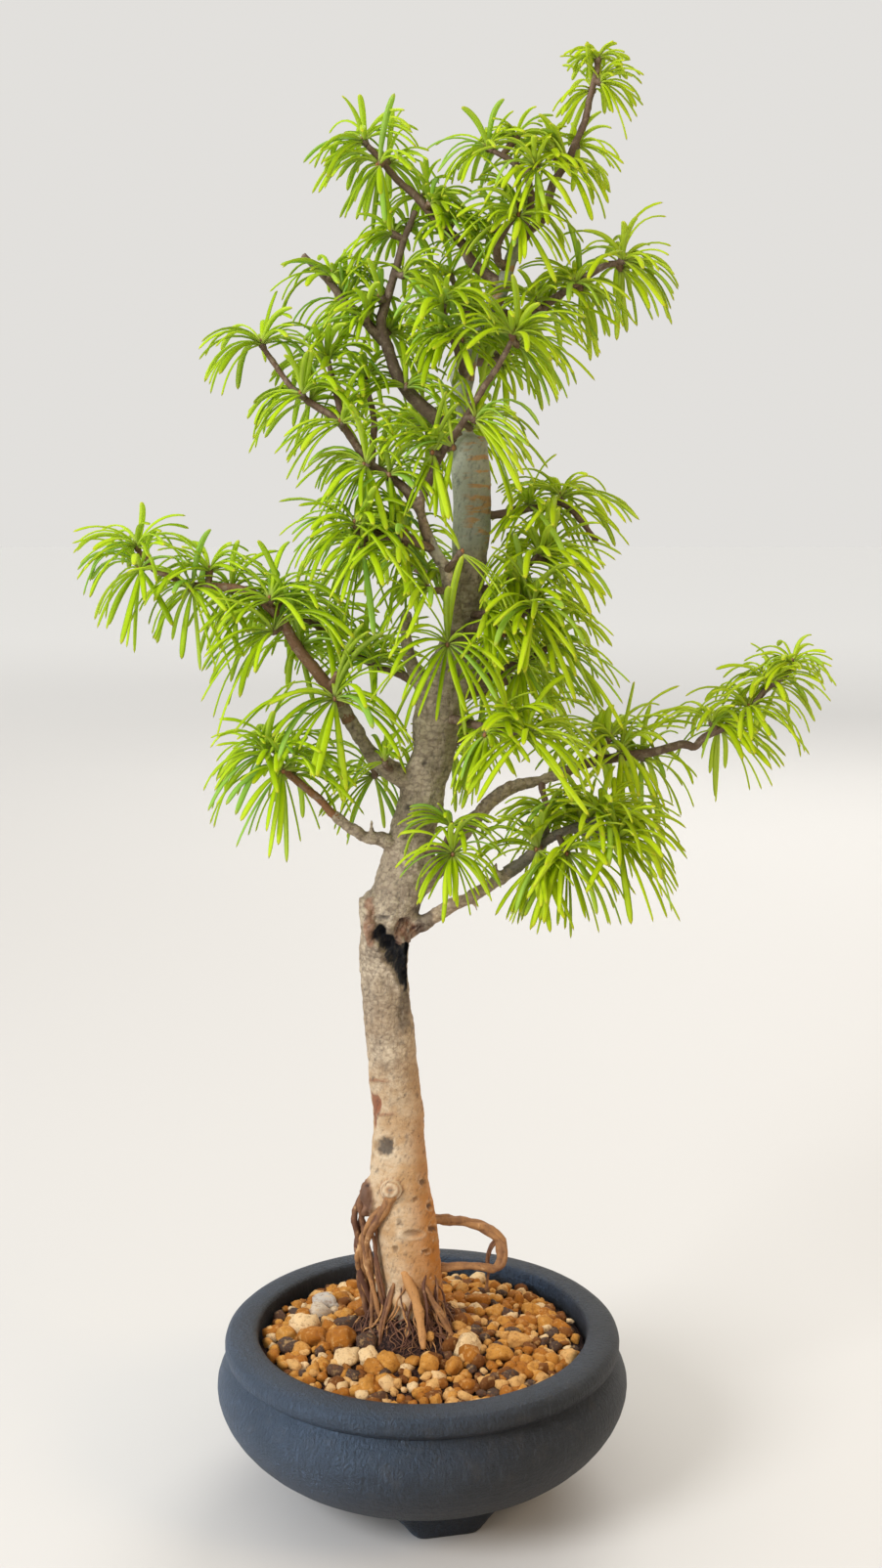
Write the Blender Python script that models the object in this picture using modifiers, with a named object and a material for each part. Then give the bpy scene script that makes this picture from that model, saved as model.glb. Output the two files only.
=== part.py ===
"""Golden larch bonsai in a round clay pot.

The plant leans and forks as one grown piece, its leafy stems carry whorls of flat needles,
and it stands in granular soil in a shallow fired pot on three feet.
Lengths in the tables are millimetres on a front elevation through the pot's axis.
"""
import math
import random

import bmesh
import bpy
from mathutils import Vector
from mathutils.kdtree import KDTree

MM = 0.001

# Pot
POT_AXIS = (-0.0150, 0.0)
POT_STEPS = 32
BELLY_STEPS = 5
WALL_STEPS = 4
BELLY_RADIUS = 0.090
BELLY_HEIGHT = 0.0485
BASE_RADIUS = 0.054
BASE_HEIGHT = 0.0105
RIM_HEIGHT = 0.0725
RIM_INNER_RADIUS = 0.072
RIM_TO_BELLY = [(0.0720, 0.0713), (0.0734, 0.0725), (0.0790, 0.0723), (0.0835, 0.0703),
                (0.0863, 0.0663), (0.0846, 0.0632), (0.0856, 0.0604), (0.0886, 0.0555)]
FLOOR_RADIUS = 0.046
FLOOR_HEIGHT = 0.016
INNER_SHOULDER_HEIGHT = 0.050
DRAIN_RADIUS = 0.011
FOOT_SIZE = (0.011, 0.039, 0.0125)
FOOT_RING_RADIUS = 0.047
FOOT_TURN = math.radians(-77.3)
FOOT_COUNT = 3
FOOT_BEVEL = 0.0015

# Drain screen
SCREEN_SIZE = 0.032
SCREEN_THICKNESS = 0.0012
SCREEN_HOLES = 3
SCREEN_HOLE_SIZE = 0.0065
SCREEN_PITCH = 0.0095

# Soil
SOIL_EDGE_HEIGHT = 0.0645
SOIL_MOUND = 0.0075
SOIL_RINGS = (0.66, 0.33, 0)
GRAIN_COUNT = 26
GRAIN_SEED = 5
GRAIN_RADII = (0.0028, 0.0055)
GRAIN_STRETCH = ((0.8, 1.15), (0.8, 1.15), (0.65, 0.9))
GRAIN_TILT = 0.4
GRAIN_TRIES = 60
GRAIN_SPACING = 1.2
GRAIN_PROUD_SHARE = 0.1
WALL_CLEARANCE = 0.003
ROOT_HOLE_CENTRE = (-0.005, -0.001)
ROOT_HOLE_RADIUS = 0.0248
ROOT_HOLE_SIDES = 24
ROOT_HOLE_FLOOR = 0.034

# Gap kept between neighbouring pieces
GAP = 0.0003

# The elevation is drawn as seen from this point, so what stands in front of or behind the
# pot's axis is shifted along the line of sight through it
EYE = Vector((0.0082, -0.809, 0.4535))

# Needles
NEEDLE_WIDTH = 0.0027
NEEDLE_THICKNESS = 0.0011
NEEDLE_RIDGE_SHARE = 0.6
NEEDLE_RISE = 0.12
NEEDLE_DROOP = 0.85
NEEDLE_SPREADS = (math.radians(48), math.radians(86))
NEEDLE_SHARE = 0.42
NEEDLE_LENGTHS = (0.9, 1.0)
NEEDLE_TRIES = 10
NEEDLE_SWAY = 0.08
NEEDLE_SWAY_GROWTH = 0.06
NEEDLE_SHORTENING = 0.03
NEEDLE_CLEARANCE = 0.0036
OWN_NEEDLE_CLEARANCE = 0.0029
NEEDLE_FREE_ROOT = 0.0065
SHOOT_RADIUS = 0.0013
SHOOT_BASE_SHARE = 0.7
SHOOT_TIP_SHARE = 0.8
SHOOT_TIP_LENGTH = 0.0016
SHOOT_LEAST_LENGTH = 0.002
RICH_WHORL = 14
SAMPLE_STEP = 0.0024
COLLAR_LENGTH = 0.0016
COLLAR_SWELL = 1.15
LIMB_DETAIL = {"trunk": 2, "root_ball": 6}
THICK_LIMB_RADIUS = 0.0035

# Trunk and old wood: across, up, depth, radius, all in millimetres
WOOD = {
    "trunk": [(-5, 70, 0, 14), (-5, 92, 0, 13.6), (-6, 101, 0, 13.8), (-7, 119, 0, 13.2),
              (-10, 142, 0, 12.4), (-10, 164, 0, 11), (-12, 186, 0, 10.7), (-14, 208, 0, 10.5),
              (-16, 229, 0, 9.9), (-16, 242, 0, 10.5), (-14, 255, 0, 10.7), (-8, 272, 0, 11.4),
              (-5, 289, 0, 9.7), (-1, 302, 0, 9.7), (1, 314, 0, 9.5), (5, 326, 0, 8.9),
              (6, 339, 0, 9.5), (8, 350, 0, 9.8), (12, 363, -1, 8.6), (17, 378, 0, 6.6),
              (19, 396, 1, 6.9), (20, 412, 1, 7.9), (21, 428, 1, 7.9), (20, 443, 0, 8.1),
              (20, 456, 0, 7.5)],
    "new_leader": [(20, 444, 1, 4), (18, 461, 1, 3.1), (17, 471, 0, 3.4), (17, 480, 0, 5.2),
                   (19, 488, 0, 4.4), (22, 495, 0, 3.1), (27, 504, 0, 3), (33, 516, 0, 3),
                   (36, 526, 0, 3), (39, 532, 0, 3.1), (40.5, 534, 0, 2.5)],
    "left_branch": [(-3, 312, -1, 5.3), (-11, 318, -4, 4.9), (-21, 326, -8, 3.6),
                    (-28, 337, -11, 3.2), (-34, 347, -14, 3.1)],
    "low_left_branch": [(-6, 286, -2, 4), (-13, 288, -5, 3.6), (-17, 290, -8, 3.2),
                        (-23, 290, -10, 2.4), (-29, 294, -12, 2.4), (-37, 300, -14, 2.1)],
    "low_right_branch": [(-10, 248, -1, 5), (0, 253, -4, 4.1), (11, 260, -6, 3.6), (21, 265, -8, 3.2),
                         (32, 272, -9, 3.2), (42, 279, -10, 3)],
    "right_branch": [(-3, 272, 2, 5.3), (6, 276, 4, 4.9), (12, 285, 7, 4.5), (23, 299, 12, 4.1),
                     (36, 311, 16, 3.9), (50, 315, 19, 3.2), (65, 320, 22, 2.7)],
    "front_riser": [(15, 372, -3, 4.6), (15, 382, -11, 4.5), (12, 391, -17, 4.4), (10, 402, -19, 4),
                    (5, 411, -20, 3.6), (1, 421, -21, 3.2), (-1, 430, -22, 2.9)],
    "riser_fork_left": [(-1, 428, -22, 2.6), (-5, 433, -22, 2.3)],
    "riser_fork_right": [(-1, 428, -22, 2.6), (2, 435.5, -25, 2)],
    "cut_stub_left": [(2, 352, -3, 4), (-4, 363, -6, 2.9), (-6, 374, -7, 2.6), (-6, 385, -7, 2.6)],
    "cut_stub_right": [(14, 350, -3, 4.4), (22, 362, -6, 3.6), (28, 370, -7, 3), (32, 376, -8, 2.6)],
    "wound_lip": [(-24, 264, -4, 2.6), (-23, 254, -8, 3), (-20, 244, -10, 3), (-15, 235, -9, 2)],
    "root_ball": [(-5, 35, -1, 24.2), (-5, 67, -1, 24.2), (-5, 74, -1, 20.5), (-5, 80, -1, 13)],
    "aerial_root": [(-12, 131, -9, 2.4), (-22, 119, -8, 2), (-26, 110, -3, 2), (-27, 97, 1, 2.2),
                    (-24, 84, 3, 2.3), (-21, 74, 3, 2.4)],
    "thin_root": [(-21, 116, -7, 1.3), (-20, 101, -9, 1.2), (-18, 88, -11, 1.2), (-15, 73, -11, 1.2)],
    "loop_root": [(2, 121, 3, 2.4), (15, 120, 8, 2.4), (24, 118, 10, 2.3), (30, 115, 10, 2.3),
                  (35, 109, 8, 2.4), (35, 103, 6, 2.3), (32, 98, 4, 2), (26, 99, 2, 1.8),
                  (16, 99, 0, 1.8), (2, 98, 0, 2)],
    "hanging_root": [(33, 113, 9, 1.2), (29, 105, 8, 1), (29, 96, 8, 0.9), (28, 88, 8, 0.7)],
    "tan_root": [(-8, 98, -10, 2.2), (-4, 85, -16, 2), (-1, 75, -18, 1.9), (0, 63, -18, 1.5)],
    "front_root_left": [(-15, 90, -8, 2), (-17, 79, -13, 1.7), (-18, 69, -13, 1.2)],
    "front_root_right": [(0, 91, -8, 2.2), (8, 83, -11, 1.8), (14, 73, -6, 1.2)],
}

# Rounded growth on the trunk: across, up, depth, then half sizes across, deep and up
SWELLINGS = {
    "root_flare": ((-6, 88, 0), (15.5, 15, 9)),
    "side_callus": ((-22, 131, -1), (5, 6, 9.5)),
    "ring_knot": ((-12, 135, -10), (4.5, 4.5, 4.5)),
    "wound_shoulder": ((-19, 262, -2), (6.5, 7, 6)),
    "branch_collar": ((-1, 277, 0), (8, 8, 12)),
}
WOUND_CENTRE = (-11, 246, -13)
WOUND_HALF_SIZE = (5.5, 6, 10)

# Leafy stems. Twigs run across, up, depth; a whorl has its centre, the way it faces
# (right, back, up), its needle length and the number of needles on the living shoot.
STEMS = {
    "stem_top_leader": dict(
        root=(39, 532, 0), radii=(2.2, 1.3),
        twigs=[[(43.5, 537.5, 0), (48, 541, 1), (51, 549, 2), (53, 556, 3), (58, 563, 3), (61, 570, 3),
                (65, 579, 2), (67, 588, 1), (69, 596, 0), (70, 602, 0)]],
        whorls=[(70, 601, 0, (0, 0, 9), 15, 13), (71, 594, -1, (7, -2, 5), 24, 10),
                (68, 591, 4, (-7, 2, 4), 24, 8), (58, 563, -4, (6, -3, 6), 29, 12),
                (52, 567, -4, (1, -3, 8), 26, 11), (62, 570, 8, (5, 3, 7), 24, 8)]),
    "stem_top_middle": dict(
        root=(40, 533, 0), radii=(1.8, 1.2),
        twigs=[[(42, 541, -7), (44, 549, -12), (42, 559, -12), (35, 565, -11), (29, 568, -10)]],
        whorls=[(46, 562, -17, (0, -9, 2), 29, 13), (27, 569, -9, (-5, -1, 8), 30, 13),
                (38, 573, -3, (-1, 2, 9), 26, 10)]),
    "stem_top_front": dict(
        root=(35, 523, 0), radii=(2, 1.2),
        twigs=[[(31, 526, -6), (31, 532, -9), (34, 538, -11), (37, 542, -13)]],
        whorls=[(39, 543, -17, (0, -9, 3), 32, 15), (30, 538, -3, (-6, 2, 6), 27, 10),
                (39, 548, -7, (3, 0, 8), 27, 10)]),
    "stem_top_left": dict(
        root=(33, 516, 0), radii=(2.6, 1.2),
        twigs=[[(27, 520, 2), (20, 526, 2), (17, 532, 2), (11, 537, 3), (6, 542, 3), (-2, 551, 2),
                (-7, 555, 2), (-12, 560, 1), (-17, 566, 0), (-21, 570, -1)]],
        whorls=[(-22, 571, -2, (-5, -1, 7), 30, 13), (-16, 563, -5, (-8, -4, -3), 29, 12),
                (-13, 564, 6, (5, 2, 7), 29, 9), (4, 548, -3, (3, -3, 8), 26, 12),
                (1, 550, 9, (-3, 4, 8), 24, 8), (12, 540, -3, (1, -2, 9), 26, 11),
                (19, 530, 9, (2, 5, 7), 26, 9)]),
    "stem_left_upright": dict(
        root=(18, 452, 0), radii=(3.4, 1.4),
        twigs=[[(8, 462, -5), (-2, 471, -6), (-9, 480, -6), (-13, 491, -6), (-16, 501, -6),
                (-14, 509, -5), (-10, 522, -4), (-7, 533, -3), (-2, 545, -2)],
               [(-16, 496, -5), (-20, 499, -7), (-22, 502, -9)],
               [(-15, 494, -4), (-24, 504, 1), (-30, 509, 3), (-36, 517, 4), (-42, 523, 4), (-47, 528, 4)]],
        whorls=[(-11, 536, -4, (-6, 0, 7), 32, 11), (-5, 538, 3, (-2, 3, 8), 27, 9),
                (-7, 520, -7, (6, -1, 6), 30, 11), (-16, 511, -9, (-5, -2, 7), 29, 11),
                (-22, 503, -11, (-3, -2, 8), 31, 11), (-13, 498, 3, (6, 3, 6), 33, 11),
                (-6, 476, -12, (1, -5, 8), 31, 11), (-36, 520, 0, (0, -2, 9), 29, 13),
                (-30, 509, 8, (-5, 4, 7), 29, 9)]),
    "stem_left_high": dict(
        root=(-3, 430.5, -22), radii=(2.2, 1.2),
        twigs=[[(-7, 436, -22), (-14, 441, -22), (-22, 447, -22), (-33, 462, -22), (-46, 471, -20),
                (-53, 477, -18), (-63, 491, -15)],
               [(-31, 459, -21), (-34, 473, -17), (-37, 485, -13)],
               [(-20, 446, -21), (-19, 463, -14), (-22, 477, -9)]],
        whorls=[(-64, 493, -15, (-2, -1, 9), 36, 15), (-48, 473, -24, (-5, -3, 7), 34, 12),
                (-45, 470, -16, (2, 5, 7), 31, 9), (-38, 487, -12, (-2, -1, 9), 33, 12),
                (-32, 462, -27, (-5, -5, 6), 33, 12), (-22, 480, -8, (-1, -1, 9), 33, 12),
                (-22, 445, -27, (-8, -4, 2), 36, 13), (-13, 441, -26, (1, -9, 1), 31, 10),
                (-17, 443, -17, (-2, 5, 7), 29, 9)]),
    "stem_riser_right": dict(
        root=(1, 433, -24), radii=(2, 1.2),
        twigs=[[(4, 440, -27), (7, 447, -29), (12, 455, -30), (17, 462, -30), (26, 477, -29),
                (31, 484, -28), (37, 495, -27)]],
        whorls=[(37, 497, -29, (2, -2, 8), 36, 15), (39, 493, -23, (7, 2, 5), 34, 10),
                (22, 463, -33, (7, -2, 5), 38, 13), (20, 460, -25, (6, 5, 4), 33, 9),
                (5, 450, -33, (-2, -9, 1), 34, 13), (13, 452, -34, (2, -9, -1), 28, 9)]),
    "stem_upper_right": dict(
        root=(27, 504, 0), radii=(2.4, 1.4),
        twigs=[[(33, 505, 2), (39, 504, 2), (46, 506, 2), (58, 514, 0), (72, 523, -2), (79, 525, -3)]],
        whorls=[(81, 526, -5, (6, -1, 7), 32, 13), (80, 523, 2, (8, 4, 2), 32, 10),
                (62, 517, -5, (1, -2, 9), 29, 13), (64, 515, 5, (6, 5, 4), 30, 10),
                (46, 510, -3, (1, -3, 9), 34, 12), (50, 507, 8, (5, 5, 6), 33, 9)]),
    "stem_upper_front": dict(
        root=(18, 480, 0), radii=(2, 1.2),
        twigs=[[(17, 483, -8), (15, 490, -15), (11, 500, -21), (9, 506, -25)]],
        whorls=[(9, 509, -27, (0, -2, 9), 33, 13), (16, 494, -21, (4, -4, 7), 33, 12),
                (8, 496, -19, (-6, -3, 6), 31, 11)]),
    "stem_upper_back": dict(
        root=(22, 495, 0), radii=(2.2, 1.2),
        twigs=[[(21, 497, 6), (20, 502, 17), (16, 511, 27), (13, 518, 33)]],
        whorls=[(12, 520, 35, (-1, 2, 9), 29, 12), (22, 507, 24, (5, 3, 7), 33, 11),
                (12, 510, 26, (-6, 2, 6), 33, 11), (20, 498, 20, (1, 8, 4), 29, 9)]),
    "stem_upper_right_back": dict(
        root=(19, 487, 0), radii=(2, 1.2),
        twigs=[[(24, 486, 7), (30, 487, 18), (33, 489, 32), (37, 490, 45)]],
        whorls=[(37, 491, 48, (2, 4, 8), 33, 13), (30, 491, 24, (2, 1, 9), 33, 10),
                (33, 485, 33, (7, 2, -5), 29, 9)]),
    "stem_chop_back": dict(
        root=(20, 448, 0), radii=(2.4, 1.2),
        twigs=[[(15, 450, 10), (9, 454, 24), (4, 459, 40), (-1, 461, 52)]],
        whorls=[(-3, 463, 55, (-4, 4, 7), 33, 13), (5, 461, 34, (-2, 0, 9), 31, 11),
                (3, 455, 44, (0, 8, -4), 29, 9), (12, 456, 27, (6, 2, 6), 33, 11)]),
    "stem_mid_left": dict(
        root=(5, 411, -20), radii=(2, 1.3),
        twigs=[[(0, 413, -24), (-7, 416, -26), (-17, 416, -27), (-24, 415, -28), (-26, 419, -31)]],
        whorls=[(-27, 421, -33, (-1, -4, 8), 34, 14), (-24, 412, -30, (-8, -4, -3), 42, 11),
                (-7, 418, -30, (-1, -3, 8), 36, 12), (-7, 413, -23, (-6, 2, -6), 38, 11),
                (-18, 418, -23, (-1, 3, 8), 34, 9)]),
    "stem_mid_left_back": dict(
        root=(19, 396, 1), radii=(2.2, 1.2),
        twigs=[[(12, 398, 11), (2, 401, 25), (-8, 406, 40), (-16, 411, 52)]],
        whorls=[(-18, 412, 55, (-4, 3, 7), 36, 13), (-8, 409, 37, (-2, 0, 9), 34, 11),
                (1, 403, 30, (2, 4, 8), 34, 10)]),
    "stem_back": dict(
        root=(5, 322, 0), radii=(2.4, 1.3),
        twigs=[[(7, 326, 12), (10, 329, 26), (15, 331, 40), (20, 334, 52)]],
        whorls=[(22, 335, 55, (3, 4, 8), 32, 12), (14, 333, 34, (-1, 1, 9), 28, 10),
                (13, 328, 38, (-5, 8, 1), 28, 9)]),
    "spur_riser_left": dict(
        root=(11, 394, -18), radii=(1.7, 1.4), twigs=[[(7, 394, -22), (4, 394, -25)]],
        whorls=[(3, 394, -26, (-7, -3, 5), 34, 12)]),
    "spur_fork_front": dict(
        root=(14, 377, -8), radii=(1.8, 1.5), twigs=[[(12, 373, -16), (11, 372, -23)]],
        whorls=[(11, 372, -25, (-1, -9, -1), 42, 14)]),
    "spur_riser_right": dict(
        root=(10, 402, -19), radii=(1.7, 1.4), twigs=[[(13, 405, -24), (15, 408, -28)]],
        whorls=[(15, 409, -29, (5, -4, 6), 38, 12)]),
    "spur_leader_front": dict(
        root=(18, 384, 0), radii=(1.8, 1.4), twigs=[[(24, 384, -9), (27, 385, -15)]],
        whorls=[(27, 385, -17, (3, -4, 7), 36, 13)]),
    "stem_right_upper": dict(
        root=(21, 425, 1), radii=(2, 1.2),
        twigs=[[(31, 425, 1), (40, 427, 0), (47, 428, -2), (57, 430, -4), (65, 423, -4), (72, 414, -4)]],
        whorls=[(57, 432, -6, (1, -1, 9), 38, 13), (54, 428, 1, (2, 7, -5), 36, 11),
                (44, 429, -6, (-2, -4, 8), 32, 10)]),
    "stem_right_a": dict(
        root=(19, 393, 1), radii=(2.2, 1.3),
        twigs=[[(28, 395, 0), (34, 398, -2), (41, 402, -6), (48, 408, -9)]],
        whorls=[(49, 409, -11, (3, -2, 8), 40, 14), (51, 406, -3, (7, 3, 5), 40, 11),
                (39, 403, -11, (1, -9, 3), 34, 11)]),
    "stem_right_b": dict(
        root=(16, 378, -6), radii=(2.2, 1.3),
        twigs=[[(26, 379, -13), (33, 380, -16), (40, 383, -18), (45, 386, -20)]],
        whorls=[(46, 387, -22, (6, -3, 6), 44, 14), (43, 390, -13, (3, 2, 8), 38, 10),
                (34, 376, -18, (0, -9, -1), 32, 10)]),
    "stem_right_c": dict(
        root=(12, 353, 2), radii=(3, 1.6),
        twigs=[[(26, 357, 5), (32, 359, 4), (38, 363, 3), (45, 366, 1), (52, 370, -1)]],
        whorls=[(54, 371, -2, (7, -1, 6), 44, 14), (47, 369, 8, (4, 4, 7), 38, 11),
                (42, 364, -5, (4, -9, 1), 36, 11)]),
    "stem_right_d": dict(
        root=(8, 341, 0), radii=(2.2, 1.4),
        twigs=[[(16, 340, -12), (23, 338, -20), (34, 336, -28), (42, 334, -33)]],
        whorls=[(44, 334, -36, (3, -4, 7), 44, 16), (27, 334, -28, (-4, -9, 0), 32, 13),
                (36, 339, -24, (2, 1, 9), 36, 10)]),
    "stem_right_back": dict(
        root=(9, 349, 0), radii=(2.6, 1.3),
        twigs=[[(19, 351, 13), (25, 353, 26), (35, 356, 42), (43, 360, 56)]],
        whorls=[(45, 361, 59, (4, 4, 7), 38, 14), (34, 359, 38, (1, 0, 9), 34, 11),
                (27, 351, 33, (-5, 7, 3), 34, 10), (39, 355, 45, (8, 2, -3), 34, 10)]),
    "stem_right_long": dict(
        root=(58, 317, 20), radii=(2.6, 1.2),
        twigs=[[(66, 321, 22), (79, 324, 23), (92, 326, 24), (98, 327, 24), (109, 330, 24),
                (114, 329, 24), (118, 333, 23), (128, 338, 21), (136, 344, 20), (144, 354, 18),
                (151, 359, 16), (154, 362, 15)],
               [(72, 322, 22), (75, 326, 18), (78, 331, 15)]],
        whorls=[(121, 339, 20, (0, -2, 9), 36, 14), (124, 336, 25, (7, 6, 2), 38, 10),
                (136, 345, 17, (1, -3, 9), 40, 12), (145, 356, 15, (-2, -1, 9), 30, 11),
                (148, 355, 21, (-2, 8, 3), 27, 10), (154, 363, 14, (-1, -2, 9), 24, 14),
                (79, 332, 14, (2, -1, 9), 42, 14), (74, 328, 24, (-1, 3, 8), 36, 11),
                (83, 327, 18, (8, -4, 2), 42, 11), (92, 324, 28, (5, 8, 1), 32, 9)]),
    "stem_low_right": dict(
        root=(36, 275, -10), radii=(2.9, 1.4),
        twigs=[[(43, 280, -10), (49, 286, -12), (54, 290, -13), (62, 294, -13), (70, 297, -12),
                (75, 298, -11)],
               [(53, 289, -12), (52, 295, -7), (53, 299, -5)],
               [(63, 294, -13), (72, 292, -16), (81, 290, -17)]],
        whorls=[(61, 284, -21, (1, -9, -2), 40, 16), (76, 299, -10, (2, -1, 9), 42, 15),
                (83, 290, -18, (7, -3, 5), 42, 13), (49, 285, -17, (-5, -7, 3), 36, 10),
                (68, 295, -6, (2, 5, 7), 38, 11), (53, 301, -4, (0, 1, 9), 30, 10)]),
    "spur_right_under": dict(
        root=(50, 315, 19), radii=(1.6, 1.4), twigs=[[(51, 309, 16), (53, 303, 13), (54, 300, 11)]],
        whorls=[(54, 299, 10, (4, -4, -7), 28, 10)]),
    "stem_low_star": dict(
        root=(-4, 284, 0), radii=(2, 1.4),
        twigs=[[(8, 286, -12), (10, 286, -17), (12, 283, -22)],
               [(9, 286, -16), (11, 290, -16), (12, 293, -15)]],
        whorls=[(13, 283, -24, (1, -9, 2), 28, 15), (12, 294, -14, (2, 0, 9), 27, 11)]),
    "stem_low_left": dict(
        root=(-33, 297, -13), radii=(2, 1.6),
        twigs=[[(-38, 301, -14), (-43, 307, -15), (-54, 316, -17), (-58, 320, -18), (-64, 324, -19)]],
        whorls=[(-65, 326, -20, (-6, -2, 6), 38, 14), (-60, 326, -17, (1, 0, 9), 36, 12),
                (-58, 319, -22, (2, -9, -2), 40, 11), (-54, 317, -13, (4, 7, 4), 32, 9)]),
    "stem_left_long": dict(
        root=(-30, 340, -12), radii=(3, 1.3),
        twigs=[[(-35, 349, -14), (-43, 360, -16), (-51, 370, -17), (-58, 382, -18), (-67, 391, -18),
                (-77, 395, -17), (-94, 396, -15), (-103, 400, -14), (-110, 403, -13), (-113, 407, -12),
                (-116, 410, -12)],
               [(-38, 354, -15), (-36, 357, -19), (-35, 360, -21)]],
        whorls=[(-117, 411, -12, (-1, -1, 9), 36, 14), (-115, 403, -14, (-7, -5, 1), 38, 12),
                (-94, 395, -18, (-5, -7, -3), 36, 12), (-87, 402, -14, (-1, 0, 9), 34, 13),
                (-78, 394, -12, (1, 7, 5), 32, 9), (-62, 390, -23, (-3, -3, 8), 38, 12),
                (-56, 389, -15, (3, 0, 8), 42, 11), (-61, 377, -22, (-7, -2, 5), 46, 14),
                (-50, 371, -11, (5, 5, 6), 34, 9), (-36, 349, -21, (0, -9, 1), 48, 17)]),
    "stem_left_back": dict(
        root=(5, 352, 0), radii=(2.2, 1.3),
        twigs=[[(-4, 357, 9), (-10, 360, 12), (-19, 363, 14), (-31, 370, 16), (-44, 380, 16),
                (-52, 384, 15)]],
        whorls=[(-34, 374, 12, (0, -1, 9), 28, 12), (-43, 380, 20, (-2, 4, 8), 34, 11),
                (-53, 385, 15, (-6, 2, 7), 34, 12), (-19, 364, 9, (0, -3, 8), 36, 12),
                (-23, 366, 20, (1, 5, 8), 34, 10)]),
    "spur_left_under": dict(
        root=(-21, 326, -8), radii=(1.8, 1.4), twigs=[[(-20, 320, -3), (-19, 317, 0)]],
        whorls=[(-19, 316, 1, (-4, 8, -3), 32, 12)]),
    "spur_left_front": dict(
        root=(-12, 319, -5), radii=(1.8, 1.4), twigs=[[(-14, 320, -11), (-15, 321, -15)]],
        whorls=[(-15, 321, -16, (-2, -4, 8), 30, 11)]),
}


def clear_scene():
    for obj in list(bpy.data.objects):
        bpy.data.objects.remove(obj, do_unlink=True)


def make_collection(name):
    collection = bpy.data.collections.new(name)
    bpy.context.scene.collection.children.link(collection)
    return collection


def make_material(name, colour, roughness):
    material = bpy.data.materials.new(name)
    material.use_nodes = True
    shader = material.node_tree.nodes["Principled BSDF"]
    shader.inputs["Base Color"].default_value = (*colour, 1)
    shader.inputs["Roughness"].default_value = roughness
    shader.inputs["Metallic"].default_value = 0
    return material


def placed(across, up, depth):
    """World point of an elevation point, moved along the line of sight to its depth."""
    flat = Vector((across * MM, 0, up * MM))
    world = EYE + (flat - EYE) * (1 + depth * MM / -EYE.y)
    return world + Vector((*POT_AXIS, 0))


def evaluated_mesh(obj):
    bpy.context.view_layer.update()
    graph = bpy.context.evaluated_depsgraph_get()
    return bpy.data.meshes.new_from_object(obj.evaluated_get(graph))


def add_mesh_object(name, mesh, collection, material):
    obj = bpy.data.objects.new(name, mesh)
    mesh.materials.clear()
    mesh.materials.append(material)
    collection.objects.link(obj)
    return obj


def add_tube(name, points, radii, collection, material, sides_step=1):
    """Round limb through world points, as a mesh with welded caps."""
    curve = bpy.data.curves.new(name, "CURVE")
    curve.dimensions = "3D"
    curve.bevel_depth = 1.0
    curve.bevel_resolution = sides_step
    curve.use_fill_caps = True
    spline = curve.splines.new("POLY")
    spline.points.add(len(points) - 1)
    for knot, point, radius in zip(spline.points, points, radii):
        knot.co = (*point, 1)
        knot.radius = radius
    guide = bpy.data.objects.new(name, curve)
    collection.objects.link(guide)
    mesh = evaluated_mesh(guide)
    shape = bmesh.new()
    shape.from_mesh(mesh)
    bmesh.ops.remove_doubles(shape, verts=shape.verts, dist=1e-6)
    bmesh.ops.recalc_face_normals(shape, faces=shape.faces)
    shape.to_mesh(mesh)
    shape.free()
    tube = add_mesh_object(name + "_tube", mesh, collection, material)
    tube.matrix_world = guide.matrix_world
    bpy.data.objects.remove(guide)
    bpy.data.curves.remove(curve)
    return tube


def fuse(base, pieces, operation="UNION", solver="MANIFOLD"):
    """One Boolean on a collection of pieces, applied, with the pieces then removed."""
    pile = make_collection(base.name + "_pieces")
    for piece in pieces:
        for home in list(piece.users_collection):
            home.objects.unlink(piece)
        pile.objects.link(piece)
    boolean = base.modifiers.new("Fuse", "BOOLEAN")
    boolean.operation = operation
    boolean.operand_type = "COLLECTION"
    boolean.collection = pile
    boolean.solver = solver
    mesh = evaluated_mesh(base)
    base.modifiers.remove(boolean)
    keep_outer_body(mesh)
    base.data = mesh
    for piece in pieces:
        bpy.data.objects.remove(piece)
    bpy.data.collections.remove(pile)


def keep_outer_body(mesh):
    """Drops loose scraps and fills the hollows that fusing seals: the largest shell stays."""
    shape = bmesh.new()
    shape.from_mesh(mesh)
    unseen = set(shape.verts)
    shells = []
    while unseen:
        shell = set()
        edge_of_shell = [unseen.pop()]
        while edge_of_shell:
            vertex = edge_of_shell.pop()
            shell.add(vertex)
            for edge in vertex.link_edges:
                other = edge.other_vert(vertex)
                if other in unseen:
                    unseen.discard(other)
                    edge_of_shell.append(other)
        shells.append(shell)
    largest = max(shells, key=len)
    scraps = [vertex for shell in shells if shell is not largest for vertex in shell]
    bmesh.ops.delete(shape, geom=scraps, context="VERTS")
    shape.to_mesh(mesh)
    shape.free()


def turned(name, profile, collection, material):
    """Solid of revolution about the pot's axis from a closed or axis-to-axis profile."""
    mesh = bpy.data.meshes.new(name)
    edges = [(i, i + 1) for i in range(len(profile) - 1)]
    if profile[0][0] > 0:
        edges.append((len(profile) - 1, 0))
    mesh.from_pydata([(radius, 0, height) for radius, height in profile], edges, [])
    obj = add_mesh_object(name, mesh, collection, material)
    obj.location = (*POT_AXIS, 0)
    screw = obj.modifiers.new("Turn", "SCREW")
    screw.steps = POT_STEPS
    screw.render_steps = POT_STEPS
    screw.use_merge_vertices = True
    screw.merge_threshold = 0.00001
    bpy.context.view_layer.update()
    solid = evaluated_mesh(obj)
    obj.modifiers.clear()
    obj.data = solid
    return obj


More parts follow.
